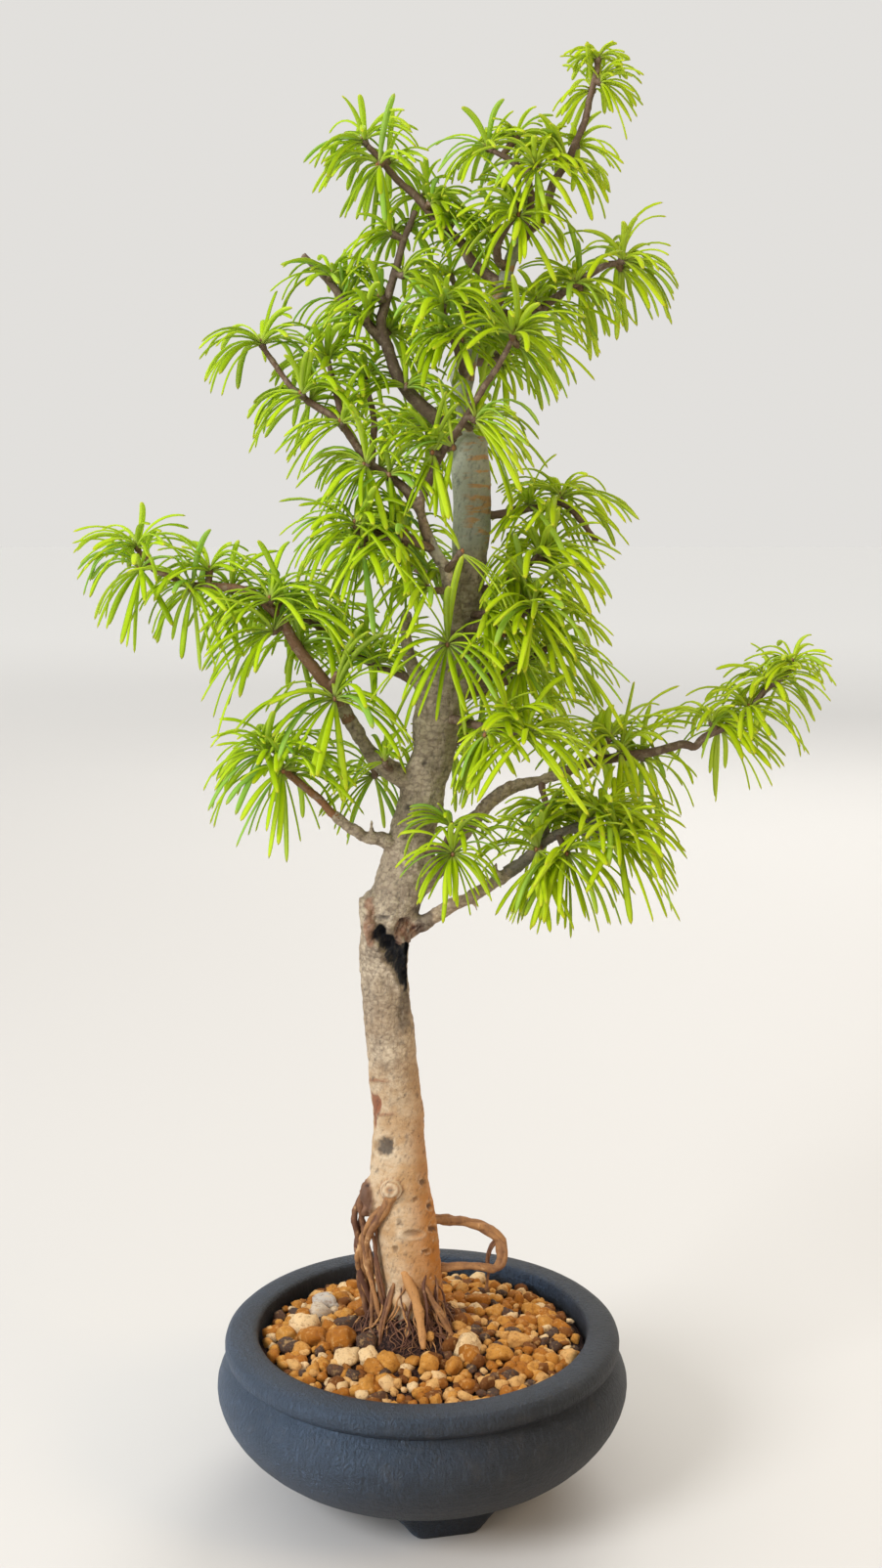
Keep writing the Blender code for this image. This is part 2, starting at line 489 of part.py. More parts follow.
def inner_wall(gap):
    """Inside of the pot from its floor up to the shoulder, drawn in by a gap."""
    points = []
    for step in range(WALL_STEPS + 1):
        angle = math.pi / 2 * step / WALL_STEPS
        radius = FLOOR_RADIUS + (RIM_INNER_RADIUS - FLOOR_RADIUS) * math.sin(angle)
        height = INNER_SHOULDER_HEIGHT - (INNER_SHOULDER_HEIGHT - FLOOR_HEIGHT) * math.cos(angle)
        points.append((radius - gap, height + gap * math.cos(angle)))
    return points


def soil_height(radius):
    return SOIL_EDGE_HEIGHT + SOIL_MOUND * (1 - (radius / RIM_INNER_RADIUS) ** 2)


def make_pot(collection, material):
    belly = []
    for step in range(BELLY_STEPS + 1):
        angle = math.pi / 2 * step / BELLY_STEPS
        belly.append((BASE_RADIUS + (BELLY_RADIUS - BASE_RADIUS) * math.cos(angle),
                      BELLY_HEIGHT - (BELLY_HEIGHT - BASE_HEIGHT) * math.sin(angle)))
    drain = [(DRAIN_RADIUS, BASE_HEIGHT), (DRAIN_RADIUS, FLOOR_HEIGHT)]
    pot = turned("pot", RIM_TO_BELLY + belly + drain + inner_wall(0), collection, material)
    feet = []
    for index in range(FOOT_COUNT):
        angle = FOOT_TURN + index * math.tau / FOOT_COUNT
        bpy.ops.mesh.primitive_cube_add(size=1)
        foot = bpy.context.object
        foot.data.transform(foot.matrix_world)
        for vertex in foot.data.vertices:
            vertex.co = [value * size for value, size in zip(vertex.co, FOOT_SIZE)]
        bevel = foot.modifiers.new("Soft edges", "BEVEL")
        bevel.width = FOOT_BEVEL
        bevel.segments = 1
        bevel.limit_method = "ANGLE"
        foot.location = (POT_AXIS[0] + FOOT_RING_RADIUS * math.cos(angle),
                         POT_AXIS[1] + FOOT_RING_RADIUS * math.sin(angle), FOOT_SIZE[2] / 2)
        foot.rotation_euler = (0, 0, angle)
        feet.append(foot)
    fuse(pot, feet)
    pot.data.shade_smooth()
    pot.data.set_sharp_from_angle(angle=math.radians(40))
    return pot


def make_screen(collection, material):
    bpy.ops.mesh.primitive_cube_add(size=1)
    screen = bpy.context.object
    screen.name = "drain_screen"
    for home in list(screen.users_collection):
        home.objects.unlink(screen)
    collection.objects.link(screen)
    screen.data.materials.append(material)
    for vertex in screen.data.vertices:
        vertex.co = (vertex.co.x * SCREEN_SIZE, vertex.co.y * SCREEN_SIZE, vertex.co.z * SCREEN_THICKNESS)
    height = FLOOR_HEIGHT + GAP + SCREEN_THICKNESS / 2
    screen.location = (*POT_AXIS, height)
    punches = []
    middle = (SCREEN_HOLES - 1) / 2
    for row in range(SCREEN_HOLES):
        for column in range(SCREEN_HOLES):
            bpy.ops.mesh.primitive_cube_add(size=SCREEN_HOLE_SIZE)
            punch = bpy.context.object
            punch.location = (POT_AXIS[0] + (row - middle) * SCREEN_PITCH,
                              POT_AXIS[1] + (column - middle) * SCREEN_PITCH, height)
            punches.append(punch)
    fuse(screen, punches, "DIFFERENCE")
    return screen


def make_grain(draw, spots):
    """Angular soil grain on the mound, clear of the root hole, the wall and other grains."""
    for _ in range(GRAIN_TRIES):
        radius = draw.uniform(*GRAIN_RADII)
        room = radius * GRAIN_SPACING
        reach = (RIM_INNER_RADIUS - WALL_CLEARANCE - radius) * math.sqrt(draw.random())
        turn = draw.uniform(0, math.tau)
        spot = Vector((reach * math.cos(turn), reach * math.sin(turn), 0))
        hole = Vector((*ROOT_HOLE_CENTRE, 0))
        clear_of_hole = (spot - hole).length > ROOT_HOLE_RADIUS + room
        if clear_of_hole and all((spot - other).length > room + size for other, size in spots):
            break
    else:
        return None
    spots.append((spot, room))
    bpy.ops.mesh.primitive_ico_sphere_add(subdivisions=1, radius=radius)
    grain = bpy.context.object
    stretch = [draw.uniform(*limits) for limits in GRAIN_STRETCH]
    for vertex in grain.data.vertices:
        vertex.co = [value * factor for value, factor in zip(vertex.co, stretch)]
    tilts = [draw.uniform(-GRAIN_TILT, GRAIN_TILT) for _ in range(2)]
    grain.rotation_euler = (*tilts, draw.uniform(0, math.tau))
    grain.location = (POT_AXIS[0] + spot.x, POT_AXIS[1] + spot.y,
                      soil_height(reach) + radius * GRAIN_PROUD_SHARE)
    return grain


def make_soil(collection, material):
    top = [(RIM_INNER_RADIUS * share, soil_height(RIM_INNER_RADIUS * share)) for share in SOIL_RINGS]
    wall = inner_wall(GAP)
    shoulder = (RIM_INNER_RADIUS - GAP, SOIL_EDGE_HEIGHT)
    profile = [(0, FLOOR_HEIGHT + GAP)] + wall + [shoulder] + top
    profile.reverse()
    soil = turned("soil", profile, collection, material)
    draw = random.Random(GRAIN_SEED)
    spots = []
    grains = [make_grain(draw, spots) for _ in range(GRAIN_COUNT)]
    fuse(soil, [grain for grain in grains if grain])
    depth = 2 * RIM_HEIGHT - ROOT_HOLE_FLOOR
    bpy.ops.mesh.primitive_cylinder_add(vertices=ROOT_HOLE_SIDES, radius=ROOT_HOLE_RADIUS, depth=depth)
    root_hole = bpy.context.object
    root_hole.location = (POT_AXIS[0] + ROOT_HOLE_CENTRE[0], POT_AXIS[1] + ROOT_HOLE_CENTRE[1],
                          ROOT_HOLE_FLOOR + depth / 2)
    bpy.ops.mesh.primitive_cube_add(size=1)
    pocket = bpy.context.object
    pocket_size = (SCREEN_SIZE + 2 * GAP, SCREEN_SIZE + 2 * GAP, 2 * (SCREEN_THICKNESS + GAP))
    for vertex in pocket.data.vertices:
        vertex.co = [value * size for value, size in zip(vertex.co, pocket_size)]
    pocket.location = (*POT_AXIS, FLOOR_HEIGHT + GAP)
    fuse(soil, [root_hole, pocket], "DIFFERENCE")
    return soil


def add_swelling(centre, half_size, segments=8, rings=5):
    """Ellipsoid of callus, root mass or wound at an elevation point."""
    bpy.ops.mesh.primitive_uv_sphere_add(segments=segments, ring_count=rings, radius=1)
    lump = bpy.context.object
    for vertex in lump.data.vertices:
        vertex.co = [value * size * MM for value, size in zip(vertex.co, half_size)]
    lump.location = placed(*centre)
    return lump


def heading(points):
    return (points[1] - points[0]).normalized()


def make_trunk(collection, material):
    """Trunk, old branches, roots and branch collars, one grown piece."""
    limbs = []
    for name, stations in WOOD.items():
        points = [placed(*station[:3]) for station in stations]
        radii = [station[3] * MM for station in stations]
        detail = LIMB_DETAIL.get(name, 1 if radii[0] > THICK_LIMB_RADIUS else 0)
        limbs.append(add_tube(name, points, radii, collection, material, detail))
    for name, stem in STEMS.items():
        first = [placed(*point) for point in stem["twigs"][0][:2]]
        along = heading(first)
        width = stem["radii"][0] * MM
        route = [placed(*stem["root"]), first[0] - along * (GAP + COLLAR_LENGTH), first[0] - along * GAP]
        limbs.append(add_tube(name + "_collar", route, [width * COLLAR_SWELL, width * COLLAR_SWELL, width],
                              collection, material, 0))
    for centre, half_size in SWELLINGS.values():
        limbs.append(add_swelling(centre, half_size))
    trunk = limbs[0]
    trunk.name = "trunk"
    fuse(trunk, limbs[1:])
    fuse(trunk, [add_swelling(WOUND_CENTRE, WOUND_HALF_SIZE)], "DIFFERENCE")
    trunk.data.shade_smooth()
    trunk.data.set_sharp_from_angle(angle=math.radians(50))
    return trunk


def stem_lines(stem):
    """World routes of a stem's twigs, with radii."""
    start, end = (value * MM for value in stem["radii"])
    lines = []
    for index, twig in enumerate(stem["twigs"]):
        points = [placed(*point) for point in twig]
        wide = start if index == 0 else (start + end) / 2
        count = len(points) - 1
        lines.append((points, [wide + (end - wide) * step / count for step in range(count + 1)]))
    return lines


def shoot_line(whorl, lines):
    """Short shoot from the nearest twig to the middle of a whorl."""
    centre = placed(*whorl[:3])
    base = nearest_on_lines(centre, lines)
    if (centre - base).length < SHOOT_LEAST_LENGTH:
        centre = base + Vector(whorl[3]).normalized() * SHOOT_LEAST_LENGTH
    return [base, centre]


def nearest_on_lines(target, lines):
    best = None
    for points, _ in lines:
        for a, b in zip(points, points[1:]):
            span = b - a
            share = max(0, min(1, (target - a).dot(span) / span.length_squared))
            spot = a + span * share
            if best is None or (spot - target).length < (best - target).length:
                best = spot
    return best


def samples(points, radii):
    """Points along a route no further apart than the sample step, with their radius."""
    found = []
    for a, b, wide, narrow in zip(points, points[1:], radii, radii[1:]):
        count = max(1, math.ceil((b - a).length / SAMPLE_STEP))
        for step in range(count + 1):
            share = step / count
            found.append((a.lerp(b, share), wide + (narrow - wide) * share))
    return found


def wood_samples():
    found = []
    for stations in WOOD.values():
        points = [placed(*station[:3]) for station in stations]
        found += samples(points, [station[3] * MM for station in stations])
    for stem in STEMS.values():
        first = placed(*stem["twigs"][0][0])
        width = stem["radii"][0] * MM
        found += samples([placed(*stem["root"]), first], [width, width])
    for centre, half_size in SWELLINGS.values():
        found.append((placed(*centre), max(half_size) * MM))
    return found


def hub_rings(shoot, facing, sides, turn):
    """Rings at the shoot's base, below its tip and at its tip; the last is half a step on."""
    side = facing.orthogonal().normalized()
    other = facing.cross(side)
    along = (shoot[1] - shoot[0]).normalized()
    tilt = facing.rotation_difference(along)
    rings = [[], [], []]
    for index in range(sides):
        angle = turn + index * math.tau / sides
        spoke = (side * math.cos(angle) + other * math.sin(angle)) * SHOOT_RADIUS
        half_on = angle + math.pi / sides
        tip_spoke = (side * math.cos(half_on) + other * math.sin(half_on)) * SHOOT_RADIUS
        rings[0].append(shoot[0] + tilt @ spoke * SHOOT_BASE_SHARE)
        rings[1].append(shoot[1] + spoke)
        rings[2].append(shoot[1] + facing * SHOOT_TIP_LENGTH + tip_spoke * SHOOT_TIP_SHARE)
    return rings


def hub_seats(rings):
    """Triangles round the tip: lower ones with a ridge to the apex, upper ones with a keel."""
    _, low, high = rings
    count = len(low)
    seats = []
    for index in range(count):
        after = (index + 1) % count
        seats.append((("low", index), ("low", after), ("high", index)))
        seats.append((("high", index), ("low", after), ("high", after)))
    return seats


def needle_route(root, out, length):
    """Root, bend and tip of an arched needle."""
    rise = (out + Vector((0, 0, NEEDLE_RISE))).normalized()
    fall = (out + Vector((0, 0, -NEEDLE_DROOP))).normalized()
    bend = root + rise * length / 2
    return [root, bend, bend + fall * length / 2]


def needle_section(route, left, right, lonely):
    """Middle section of a needle: two edges, and the ridge or keel on the lonely corner's side."""
    root, bend, tip = route
    along = (tip - root).normalized()
    across = right - left
    across = (across - along * across.dot(along)).normalized()
    lift = along.cross(across).normalized()
    if lift.dot(lonely - (left + right) / 2) < 0:
        lift.negate()
    half = across * NEEDLE_WIDTH / 2
    ridge = bend + lift * NEEDLE_THICKNESS * NEEDLE_RIDGE_SHARE
    base = ridge - lift * NEEDLE_THICKNESS
    return base - half, base + half, ridge


def whorl_mesh(rings, routes):
    """Short shoot with a needle drawn out of each seat that has a route."""
    count = len(rings[0])
    corners = [corner for ring in rings for corner in ring]
    start = {"low": count, "high": 2 * count}
    faces = [tuple(reversed(range(count))), tuple(range(2 * count, 3 * count))]
    for index in range(count):
        after = (index + 1) % count
        faces += [(index, after, count + after), (index, count + after, count + index)]
    for seat, route in zip(hub_seats(rings), routes):
        face = [start[ring] + index for ring, index in seat]
        if route is None:
            faces.append(face)
            continue
        lonely = 2 if seat[0][0] == seat[1][0] else 1
        edge_a, edge_b = (corners[corner] for place, corner in enumerate(face) if place != lonely)
        edge_a, edge_b, ridge = needle_section(route, edge_a, edge_b, corners[face[lonely]])
        first = len(corners)
        corners += [edge_a, edge_b, ridge] if lonely == 2 else [edge_a, ridge, edge_b]
        corners.append(route[2])
        for a in range(3):
            b = (a + 1) % 3
            faces += [(face[a], face[b], first + b), (face[a], first + b, first + a),
                      (first + a, first + b, first + 3)]
    mesh = bpy.data.meshes.new("whorl")
    mesh.from_pydata(corners, [], faces)
    shape = bmesh.new()
    shape.from_mesh(mesh)
    bmesh.ops.recalc_face_normals(shape, faces=shape.faces)
    shape.to_mesh(mesh)
    shape.free()
    return mesh


class Clearance:
    """Remembers what is already placed, so a needle that would cross it is turned or left out."""

    def __init__(self):
        self.items = wood_samples()
        self.lines = {}
        for name, stem in STEMS.items():
            lines = stem_lines(stem)
            shoots = [(shoot_line(whorl, lines), [SHOOT_RADIUS] * 2) for whorl in stem["whorls"]]
            self.lines[name] = [sample for line in lines + shoots for sample in samples(*line)]
        self.needles = {name: [] for name in STEMS}

    def tree_for(self, name):
        """Search tree of everything that a needle of this stem must stay clear of."""
        found = list(self.items)
        for other, line in self.lines.items():
            if other != name:
                found += line + self.needles[other]
        tree = KDTree(len(found))
        for index, (point, _) in enumerate(found):
            tree.insert(point, index)
        tree.balance()
        return tree, [radius for _, radius in found]


def is_free(route, tree, radii, own):
    half = NEEDLE_CLEARANCE / 2
    widest = max(radii)
    for point, _ in samples(route, [0] * len(route)):
        for _, index, distance in tree.find_range(point, widest + half):
            if distance < radii[index] + half:
                return False
    for point, _ in samples(route, [0] * len(route)):
        if (point - route[0]).length < NEEDLE_FREE_ROOT:
            continue
        if any((point - other).length < OWN_NEEDLE_CLEARANCE for other in own):
            return False
    return True


def grow_whorls(name, stem, clearance, draw):
    """Rings and needle routes of each whorl, every needle turned until it is clear."""
    tree, radii = clearance.tree_for(name)
    lines = stem_lines(stem)
    whorls = []
    own = [point for point, _ in clearance.lines[name]]
    for whorl in stem["whorls"]:
        shoot = shoot_line(whorl, lines)
        facing = Vector(whorl[3]).normalized()
        sides = 4 if whorl[5] >= RICH_WHORL else 3
        rings = hub_rings(shoot, facing, sides, draw.uniform(0, math.tau))
        routes = []
        wanted = round(whorl[5] * NEEDLE_SHARE)
        for index, seat in enumerate(hub_seats(rings)):
            if index % 2 and wanted <= len(rings[0]) + index // 2:
                routes.append(None)
                continue
            spots = [rings[1 if ring == "low" else 2][place] for ring, place in seat]
            root = (spots[0] + spots[1] + spots[2]) / 3
            lean = root - shoot[1]
            lean = (lean - facing * lean.dot(facing)).normalized()
            spread = NEEDLE_SPREADS[1 - index % 2]
            routes.append(find_route(root, facing, lean, spread, whorl[4] * MM, (tree, radii, own), draw))
            if routes[-1]:
                reached = samples(routes[-1], [NEEDLE_CLEARANCE / 2] * 3)
                clearance.needles[name] += reached
                own += [point for point, _ in reached if (point - root).length > NEEDLE_FREE_ROOT]
        whorls.append((rings, routes))
    return whorls


def find_route(root, facing, lean, spread, length, occupied, draw):
    """Needle route near the wished direction that is clear of what stands there, or none."""
    for attempt in range(NEEDLE_TRIES):
        sway = NEEDLE_SWAY + NEEDLE_SWAY_GROWTH * attempt
        out = facing * math.cos(spread) + lean * math.sin(spread)
        out += Vector([draw.uniform(-sway, sway) for _ in range(3)])
        size = length * draw.uniform(*NEEDLE_LENGTHS) * (1 - NEEDLE_SHORTENING * attempt)
        route = needle_route(root, out.normalized(), size)
        if is_free(route, *occupied):
            return route
    return None


def make_stem(name, stem, whorls, collection, material):
    """Leafy stem: its twigs, short shoots and needles fused in one body."""
    pieces = []
    for index, (points, radii) in enumerate(stem_lines(stem)):
        pieces.append(add_tube(f"{name}_twig_{index}", points, radii, collection, material, 0))
    for index, (rings, routes) in enumerate(whorls):
        mesh = whorl_mesh(rings, routes)
        pieces.append(add_mesh_object(f"{name}_whorl_{index}", mesh, collection, material))
    base = pieces[0]
    base.name = name
    fuse(base, pieces[1:])
    return base


def main():
    clear_scene()
    parts = make_collection("golden_larch_bonsai")
    clay = make_material("unglazed_clay", (0.030, 0.034, 0.040), 0.55)
    plastic = make_material("screen_plastic", (0.02, 0.02, 0.02), 0.5)
    grains = make_material("soil_grains", (0.42, 0.26, 0.09), 0.9)
    bark = make_material("larch_bark", (0.27, 0.20, 0.14), 0.85)
    leaf = make_material("larch_needles", (0.20, 0.42, 0.03), 0.5)
    make_pot(parts, clay)
    make_screen(parts, plastic)
    make_soil(parts, grains)
    make_trunk(parts, bark)
    clearance = Clearance()
    for index, (name, stem) in enumerate(STEMS.items()):
        whorls = grow_whorls(name, stem, clearance, random.Random(index + 1))
        make_stem(name, stem, whorls, parts, leaf)


main()
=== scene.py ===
import math
import random

import bmesh
import bpy
from mathutils import Matrix, Vector, noise
from mathutils.kdtree import KDTree


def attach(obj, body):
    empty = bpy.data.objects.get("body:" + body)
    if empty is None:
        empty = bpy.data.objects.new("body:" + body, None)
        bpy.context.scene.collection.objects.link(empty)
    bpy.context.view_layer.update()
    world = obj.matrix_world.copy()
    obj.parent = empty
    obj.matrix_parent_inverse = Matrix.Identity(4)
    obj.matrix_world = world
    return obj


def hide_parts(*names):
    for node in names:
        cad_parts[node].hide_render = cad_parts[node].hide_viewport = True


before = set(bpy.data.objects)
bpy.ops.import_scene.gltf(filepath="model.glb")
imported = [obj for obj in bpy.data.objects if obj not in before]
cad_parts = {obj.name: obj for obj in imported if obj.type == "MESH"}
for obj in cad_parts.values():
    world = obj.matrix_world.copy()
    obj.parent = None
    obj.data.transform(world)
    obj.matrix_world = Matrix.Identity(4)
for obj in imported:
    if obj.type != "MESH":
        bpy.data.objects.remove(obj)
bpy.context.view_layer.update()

millimetre = 0.001
potAxis = Vector((-0.015, 0, 0))
eyePoint = Vector((0.0082, -0.809, 0.4535))  # the plan below is drawn as seen from here


def spot(across, up, depth):  # a plan point in mm, moved along its line of sight to its depth
    flat = Vector((across, 0, up)) * millimetre
    return eyePoint + (flat - eyePoint) * (1 + depth * millimetre / -eyePoint.y) + potAxis


# Shader sums: a Wire is a socket that can stand in a Python expression
class Wire:
    def __init__(self, tree, socket=None):
        self.tree = tree
        self.socket = socket

    def node(self, kind, settings, sockets, out=0):
        made = self.tree.nodes.new("ShaderNode" + kind)
        for key, value in settings.items():
            if key == "stops":
                ramp = made.color_ramp.elements
                while len(ramp) < len(value):
                    ramp.new(0.5)
                for stop, (place, colour) in zip(ramp, value):
                    stop.position = place
                    stop.color = (*colour, 1)
            else:
                setattr(made, key, value)
        for key, value in sockets.items():
            if isinstance(value, Wire):
                self.tree.links.new(value.socket, made.inputs[key])
            else:
                made.inputs[key].default_value = value
        return Wire(self.tree, made.outputs[out])

    def maths(self, operation, first, second=0.0):
        return self.node("Math", {"operation": operation}, {0: first, 1: second})

    def __add__(self, other):
        return self.maths("ADD", self, other)

    def __sub__(self, other):
        return self.maths("SUBTRACT", self, other)

    def __rsub__(self, other):
        return self.maths("SUBTRACT", other, self)

    def __mul__(self, other):
        return self.maths("MULTIPLY", self, other)

    __radd__ = __add__
    __rmul__ = __mul__

    def between(self, low, high):  # 0 at low, 1 at high, smooth between
        return self.node("MapRange", {"interpolation_type": "SMOOTHSTEP"},
                         {"Value": self, "From Min": low, "From Max": high})

    def colourMix(self, share, first, second):
        first, second = [(*colour, 1) if isinstance(colour, tuple) else colour for colour in (first, second)]
        return self.node("Mix", {"data_type": "RGBA", "clamp_factor": True},
                         {0: share, 6: first, 7: second}, 2)

    def layered(self, colour, layers):  # a colour with others laid over it, each through its mask
        for share, tint in layers:
            colour = self.colourMix(share, colour, tint)
        return colour

    def ramp(self, stops):
        return self.node("ValToRGB", {"stops": stops}, {"Fac": self})

    def noise(self, place, scale, detail=4.0, roughness=0.55):
        return self.node("TexNoise", {}, {"Vector": place, "Scale": scale, "Detail": detail,
                                          "Roughness": roughness})

    def cells(self, place, scale):
        return self.node("TexVoronoi", {}, {"Vector": place, "Scale": scale})

    def axis(self, place, number):  # one part of a place: 0 right, 1 back, 2 up
        return self.node("SeparateXYZ", {}, {0: place}, number)

    def stretch(self, place, factors):
        return self.node("VectorMath", {"operation": "MULTIPLY"}, {0: place, 1: factors})

    def bump(self, height, strength, distance):
        return self.node("Bump", {}, {"Height": height, "Strength": strength, "Distance": distance})


# Camera, floor and light
cameraView = {"lens": 45, "sensor": 36, "nearest": 0.01, "place": eyePoint + potAxis, "lookDown": 9.84}
studio = {
    "floorSize": 16.0,
    # the floor is painted darker near the pot and lighter far off, standing in for the lamps' light falling
    # off with distance
    "floorNear": (0.58, 0.565, 0.545), "floorFar": (0.94, 0.93, 0.91), "floorFade": (0.9, 4.2),  # m
    "wallLight": (0.76, 0.745, 0.72), "topLight": (0.90, 0.90, 0.88),
    "leftLight": (0.90, 0.94, 1.0), "rightLight": (0.36, 0.27, 0.19),
    "sideFade": (-0.8, 0.7), "backFade": (0.66, 0.82), "lowFade": (0.30, 0.10), "topFade": (0.35, 0.80),
    "lampAim": Vector((0, 0, 0.3)),
    "lamps": [  # name, place, size, watts, colour
        ("windowLight", (-1.30, -1.20, 1.25), 0.9, 35, (0.97, 0.98, 1.0)),
        ("warmLight", (1.35, -0.75, 1.15), 0.7, 8, (1.0, 0.74, 0.45)),
        ("backLight", (0.5, 1.6, 1.4), 1.4, 17, (1.0, 0.98, 0.94)),
        ("potGlow", (-0.98, -0.14, 0.20), 0.9, 46, (0.38, 0.64, 1.0)),
    ],
}


def setCamera():
    data = bpy.data.cameras.new("viewCamera")
    data.lens = cameraView["lens"]
    data.sensor_width = cameraView["sensor"]
    data.clip_start = cameraView["nearest"]
    camera = bpy.data.objects.new("viewCamera", data)
    camera.location = cameraView["place"]
    camera.rotation_euler = (math.radians(90 - cameraView["lookDown"]), 0, 0)
    bpy.context.scene.collection.objects.link(camera)
    bpy.context.scene.camera = camera


def setLamps():
    for name, place, size, power, colour in studio["lamps"]:
        data = bpy.data.lights.new(name, "AREA")
        data.shape = "DISK"
        data.size = size
        data.energy = power
        data.color = colour
        lamp = bpy.data.objects.new(name, data)
        lamp.location = place
        aim = studio["lampAim"] - Vector(place)
        lamp.rotation_euler = aim.to_track_quat("-Z", "Y").to_euler()
        bpy.context.scene.collection.objects.link(lamp)
    world = bpy.data.worlds.new("studioSky")
    world.use_nodes = True
    wire = Wire(world.node_tree)
    way = wire.node("TexCoord", {}, {}, 0)
    colour = wire.layered(studio["leftLight"], [
        (wire.axis(way, 0).between(*studio["sideFade"]), studio["rightLight"]),
        (wire.axis(way, 1).between(*studio["backFade"]), studio["wallLight"]),
        (wire.axis(way, 2).between(*studio["lowFade"]), studio["wallLight"]),
        (wire.axis(way, 2).between(*studio["topFade"]), studio["topLight"])])
    world.node_tree.links.new(colour.socket, world.node_tree.nodes["Background"].inputs["Color"])
    bpy.context.scene.world = world
    bpy.context.scene.view_settings.view_transform = "Standard"


setCamera()
setLamps()
print("camera and lights are set")


def newMaterial(name, **fixed):  # returns the material, a Wire to build with and a setter for what varies
    material = bpy.data.materials.new(name)
    material.use_nodes = True
    tree = material.node_tree
    shader = tree.nodes["Principled BSDF"]
    for key, value in fixed.items():
        shader.inputs[key.replace("_", " ")].default_value = value

    def vary(key, value):
        tree.links.new(value.socket, shader.inputs[key])

    return material, Wire(tree), vary


def objectPlace(wire):
    return wire.node("TexCoord", {}, {}, 3)


def mark(wire, name):  # a number kept on the mesh's corners
    return wire.node("Attribute", {"attribute_name": name}, {}, 2)


# Mesh building
class MeshPile:  # corners and faces of one piece, with the marks that its materials read
    def __init__(self, *markNames):
        self.corners = []
        self.faces = []
        self.kinds = []
        self.marks = {name: [] for name in markNames}

    def add(self, corners, faces, kind=0, **marks):
        first = len(self.corners)
        self.corners += corners
        self.faces += [tuple(first + corner for corner in face) for face in faces]
        self.kinds += [kind] * len(faces)
        for name, values in self.marks.items():
            given = marks.get(name, 0.0)
            values += given if isinstance(given, list) else [given] * len(corners)

    def make(self, name, materials):
        mesh = bpy.data.meshes.new(name)
        mesh.from_pydata(self.corners, [], self.faces)
        for material in materials:
            mesh.materials.append(material)
        mesh.polygons.foreach_set("material_index", self.kinds)
        mesh.polygons.foreach_set("use_smooth", [True] * len(self.faces))
        for key, values in self.marks.items():
            mesh.attributes.new(key, "FLOAT", "POINT").data.foreach_set("value", values)
        mesh.update()
        piece = bpy.data.objects.new(name, mesh)
        bpy.context.scene.collection.objects.link(piece)
        return piece


def smoothLine(points, radii, step):  # a smooth run through the points, with its radius
    ends = [points[0] * 2 - points[1], *points, points[-1] * 2 - points[-2]]
    line = []
    for index in range(len(points) - 1):
        a, b, c, d = ends[index:index + 4]
        count = max(1, round((c - b).length / step))
        for number in range(count):
            t = number / count
            place = (b * 2 + (c - a) * t + (a * 2 - b * 5 + c * 4 - d) * t ** 2
                     + (b * 3 - a - c * 3 + d) * t ** 3) / 2
            line.append((place, radii[index] + (radii[index + 1] - radii[index]) * t))
    line.append((points[-1], radii[-1]))
    return line


def bands(rings, count, inward=False):  # faces between rings of so many corners
    faces = []
    for ring in range(rings - 1):
        for number in range(count):
            a = ring * count + number
            b = ring * count + (number + 1) % count
            faces.append((b, a, a + count, b + count) if inward else (a, b, b + count, a + count))
    return faces


def closedFaces(rings, count):  # faces of a top corner, rings of corners and a bottom corner
    faces = []
    last = 1 + (rings - 1) * count
    for number in range(count):
        after = (number + 1) % count
        faces.append((0, 1 + number, 1 + after))
        for a in range(1, last, count):
            faces.append((a + number, a + count + number, a + count + after, a + after))
        faces.append((last + after, last + number, last + count))
    return faces


capShare = 0.3  # how far a limb's ends stand out, as a share of the radius there


def tube(line, sides, roughen=None):  # corners and faces of a closed limb along a line
    corners = []
    side = None
    for index, (place, radius) in enumerate(line):
        before = line[max(index - 1, 0)][0]
        after = line[min(index + 1, len(line) - 1)][0]
        along = (after - before).normalized()
        side = along.orthogonal() if side is None else side - along * side.dot(along)
        side.normalize()
        other = along.cross(side)
        for number in range(sides):
            turn = math.tau * number / sides
            spoke = side * math.cos(turn) + other * math.sin(turn)
            swell = roughen(place + spoke * radius) if roughen else 0
            corners.append(place + spoke * (radius + swell))
    faces = bands(len(line), sides)
    start = (len(line) - 1) * sides
    for (end, radius), (inner, _) in ((line[0], line[1]), (line[-1], line[-2])):
        corners.append(end + (end - inner).normalized() * radius * capShare)
    for number in range(sides):
        after = (number + 1) % sides
        faces.append((after, number, len(corners) - 2))
        faces.append((start + number, start + after, len(corners) - 1))
    return corners, faces


def lump(centre, halfSize, segments, rings):  # corners and faces of an ellipsoid
    corners = [centre + Vector((0, 0, halfSize[2]))]
    for ring in range(1, rings):
        lean = math.pi * ring / rings
        for number in range(segments):
            turn = math.tau * number / segments
            spoke = Vector((math.sin(lean) * math.cos(turn), math.sin(lean) * math.sin(turn), math.cos(lean)))
            corners.append(centre + spoke * halfSize)
    corners.append(centre - Vector((0, 0, halfSize[2])))
    return corners, closedFaces(rings - 1, segments)


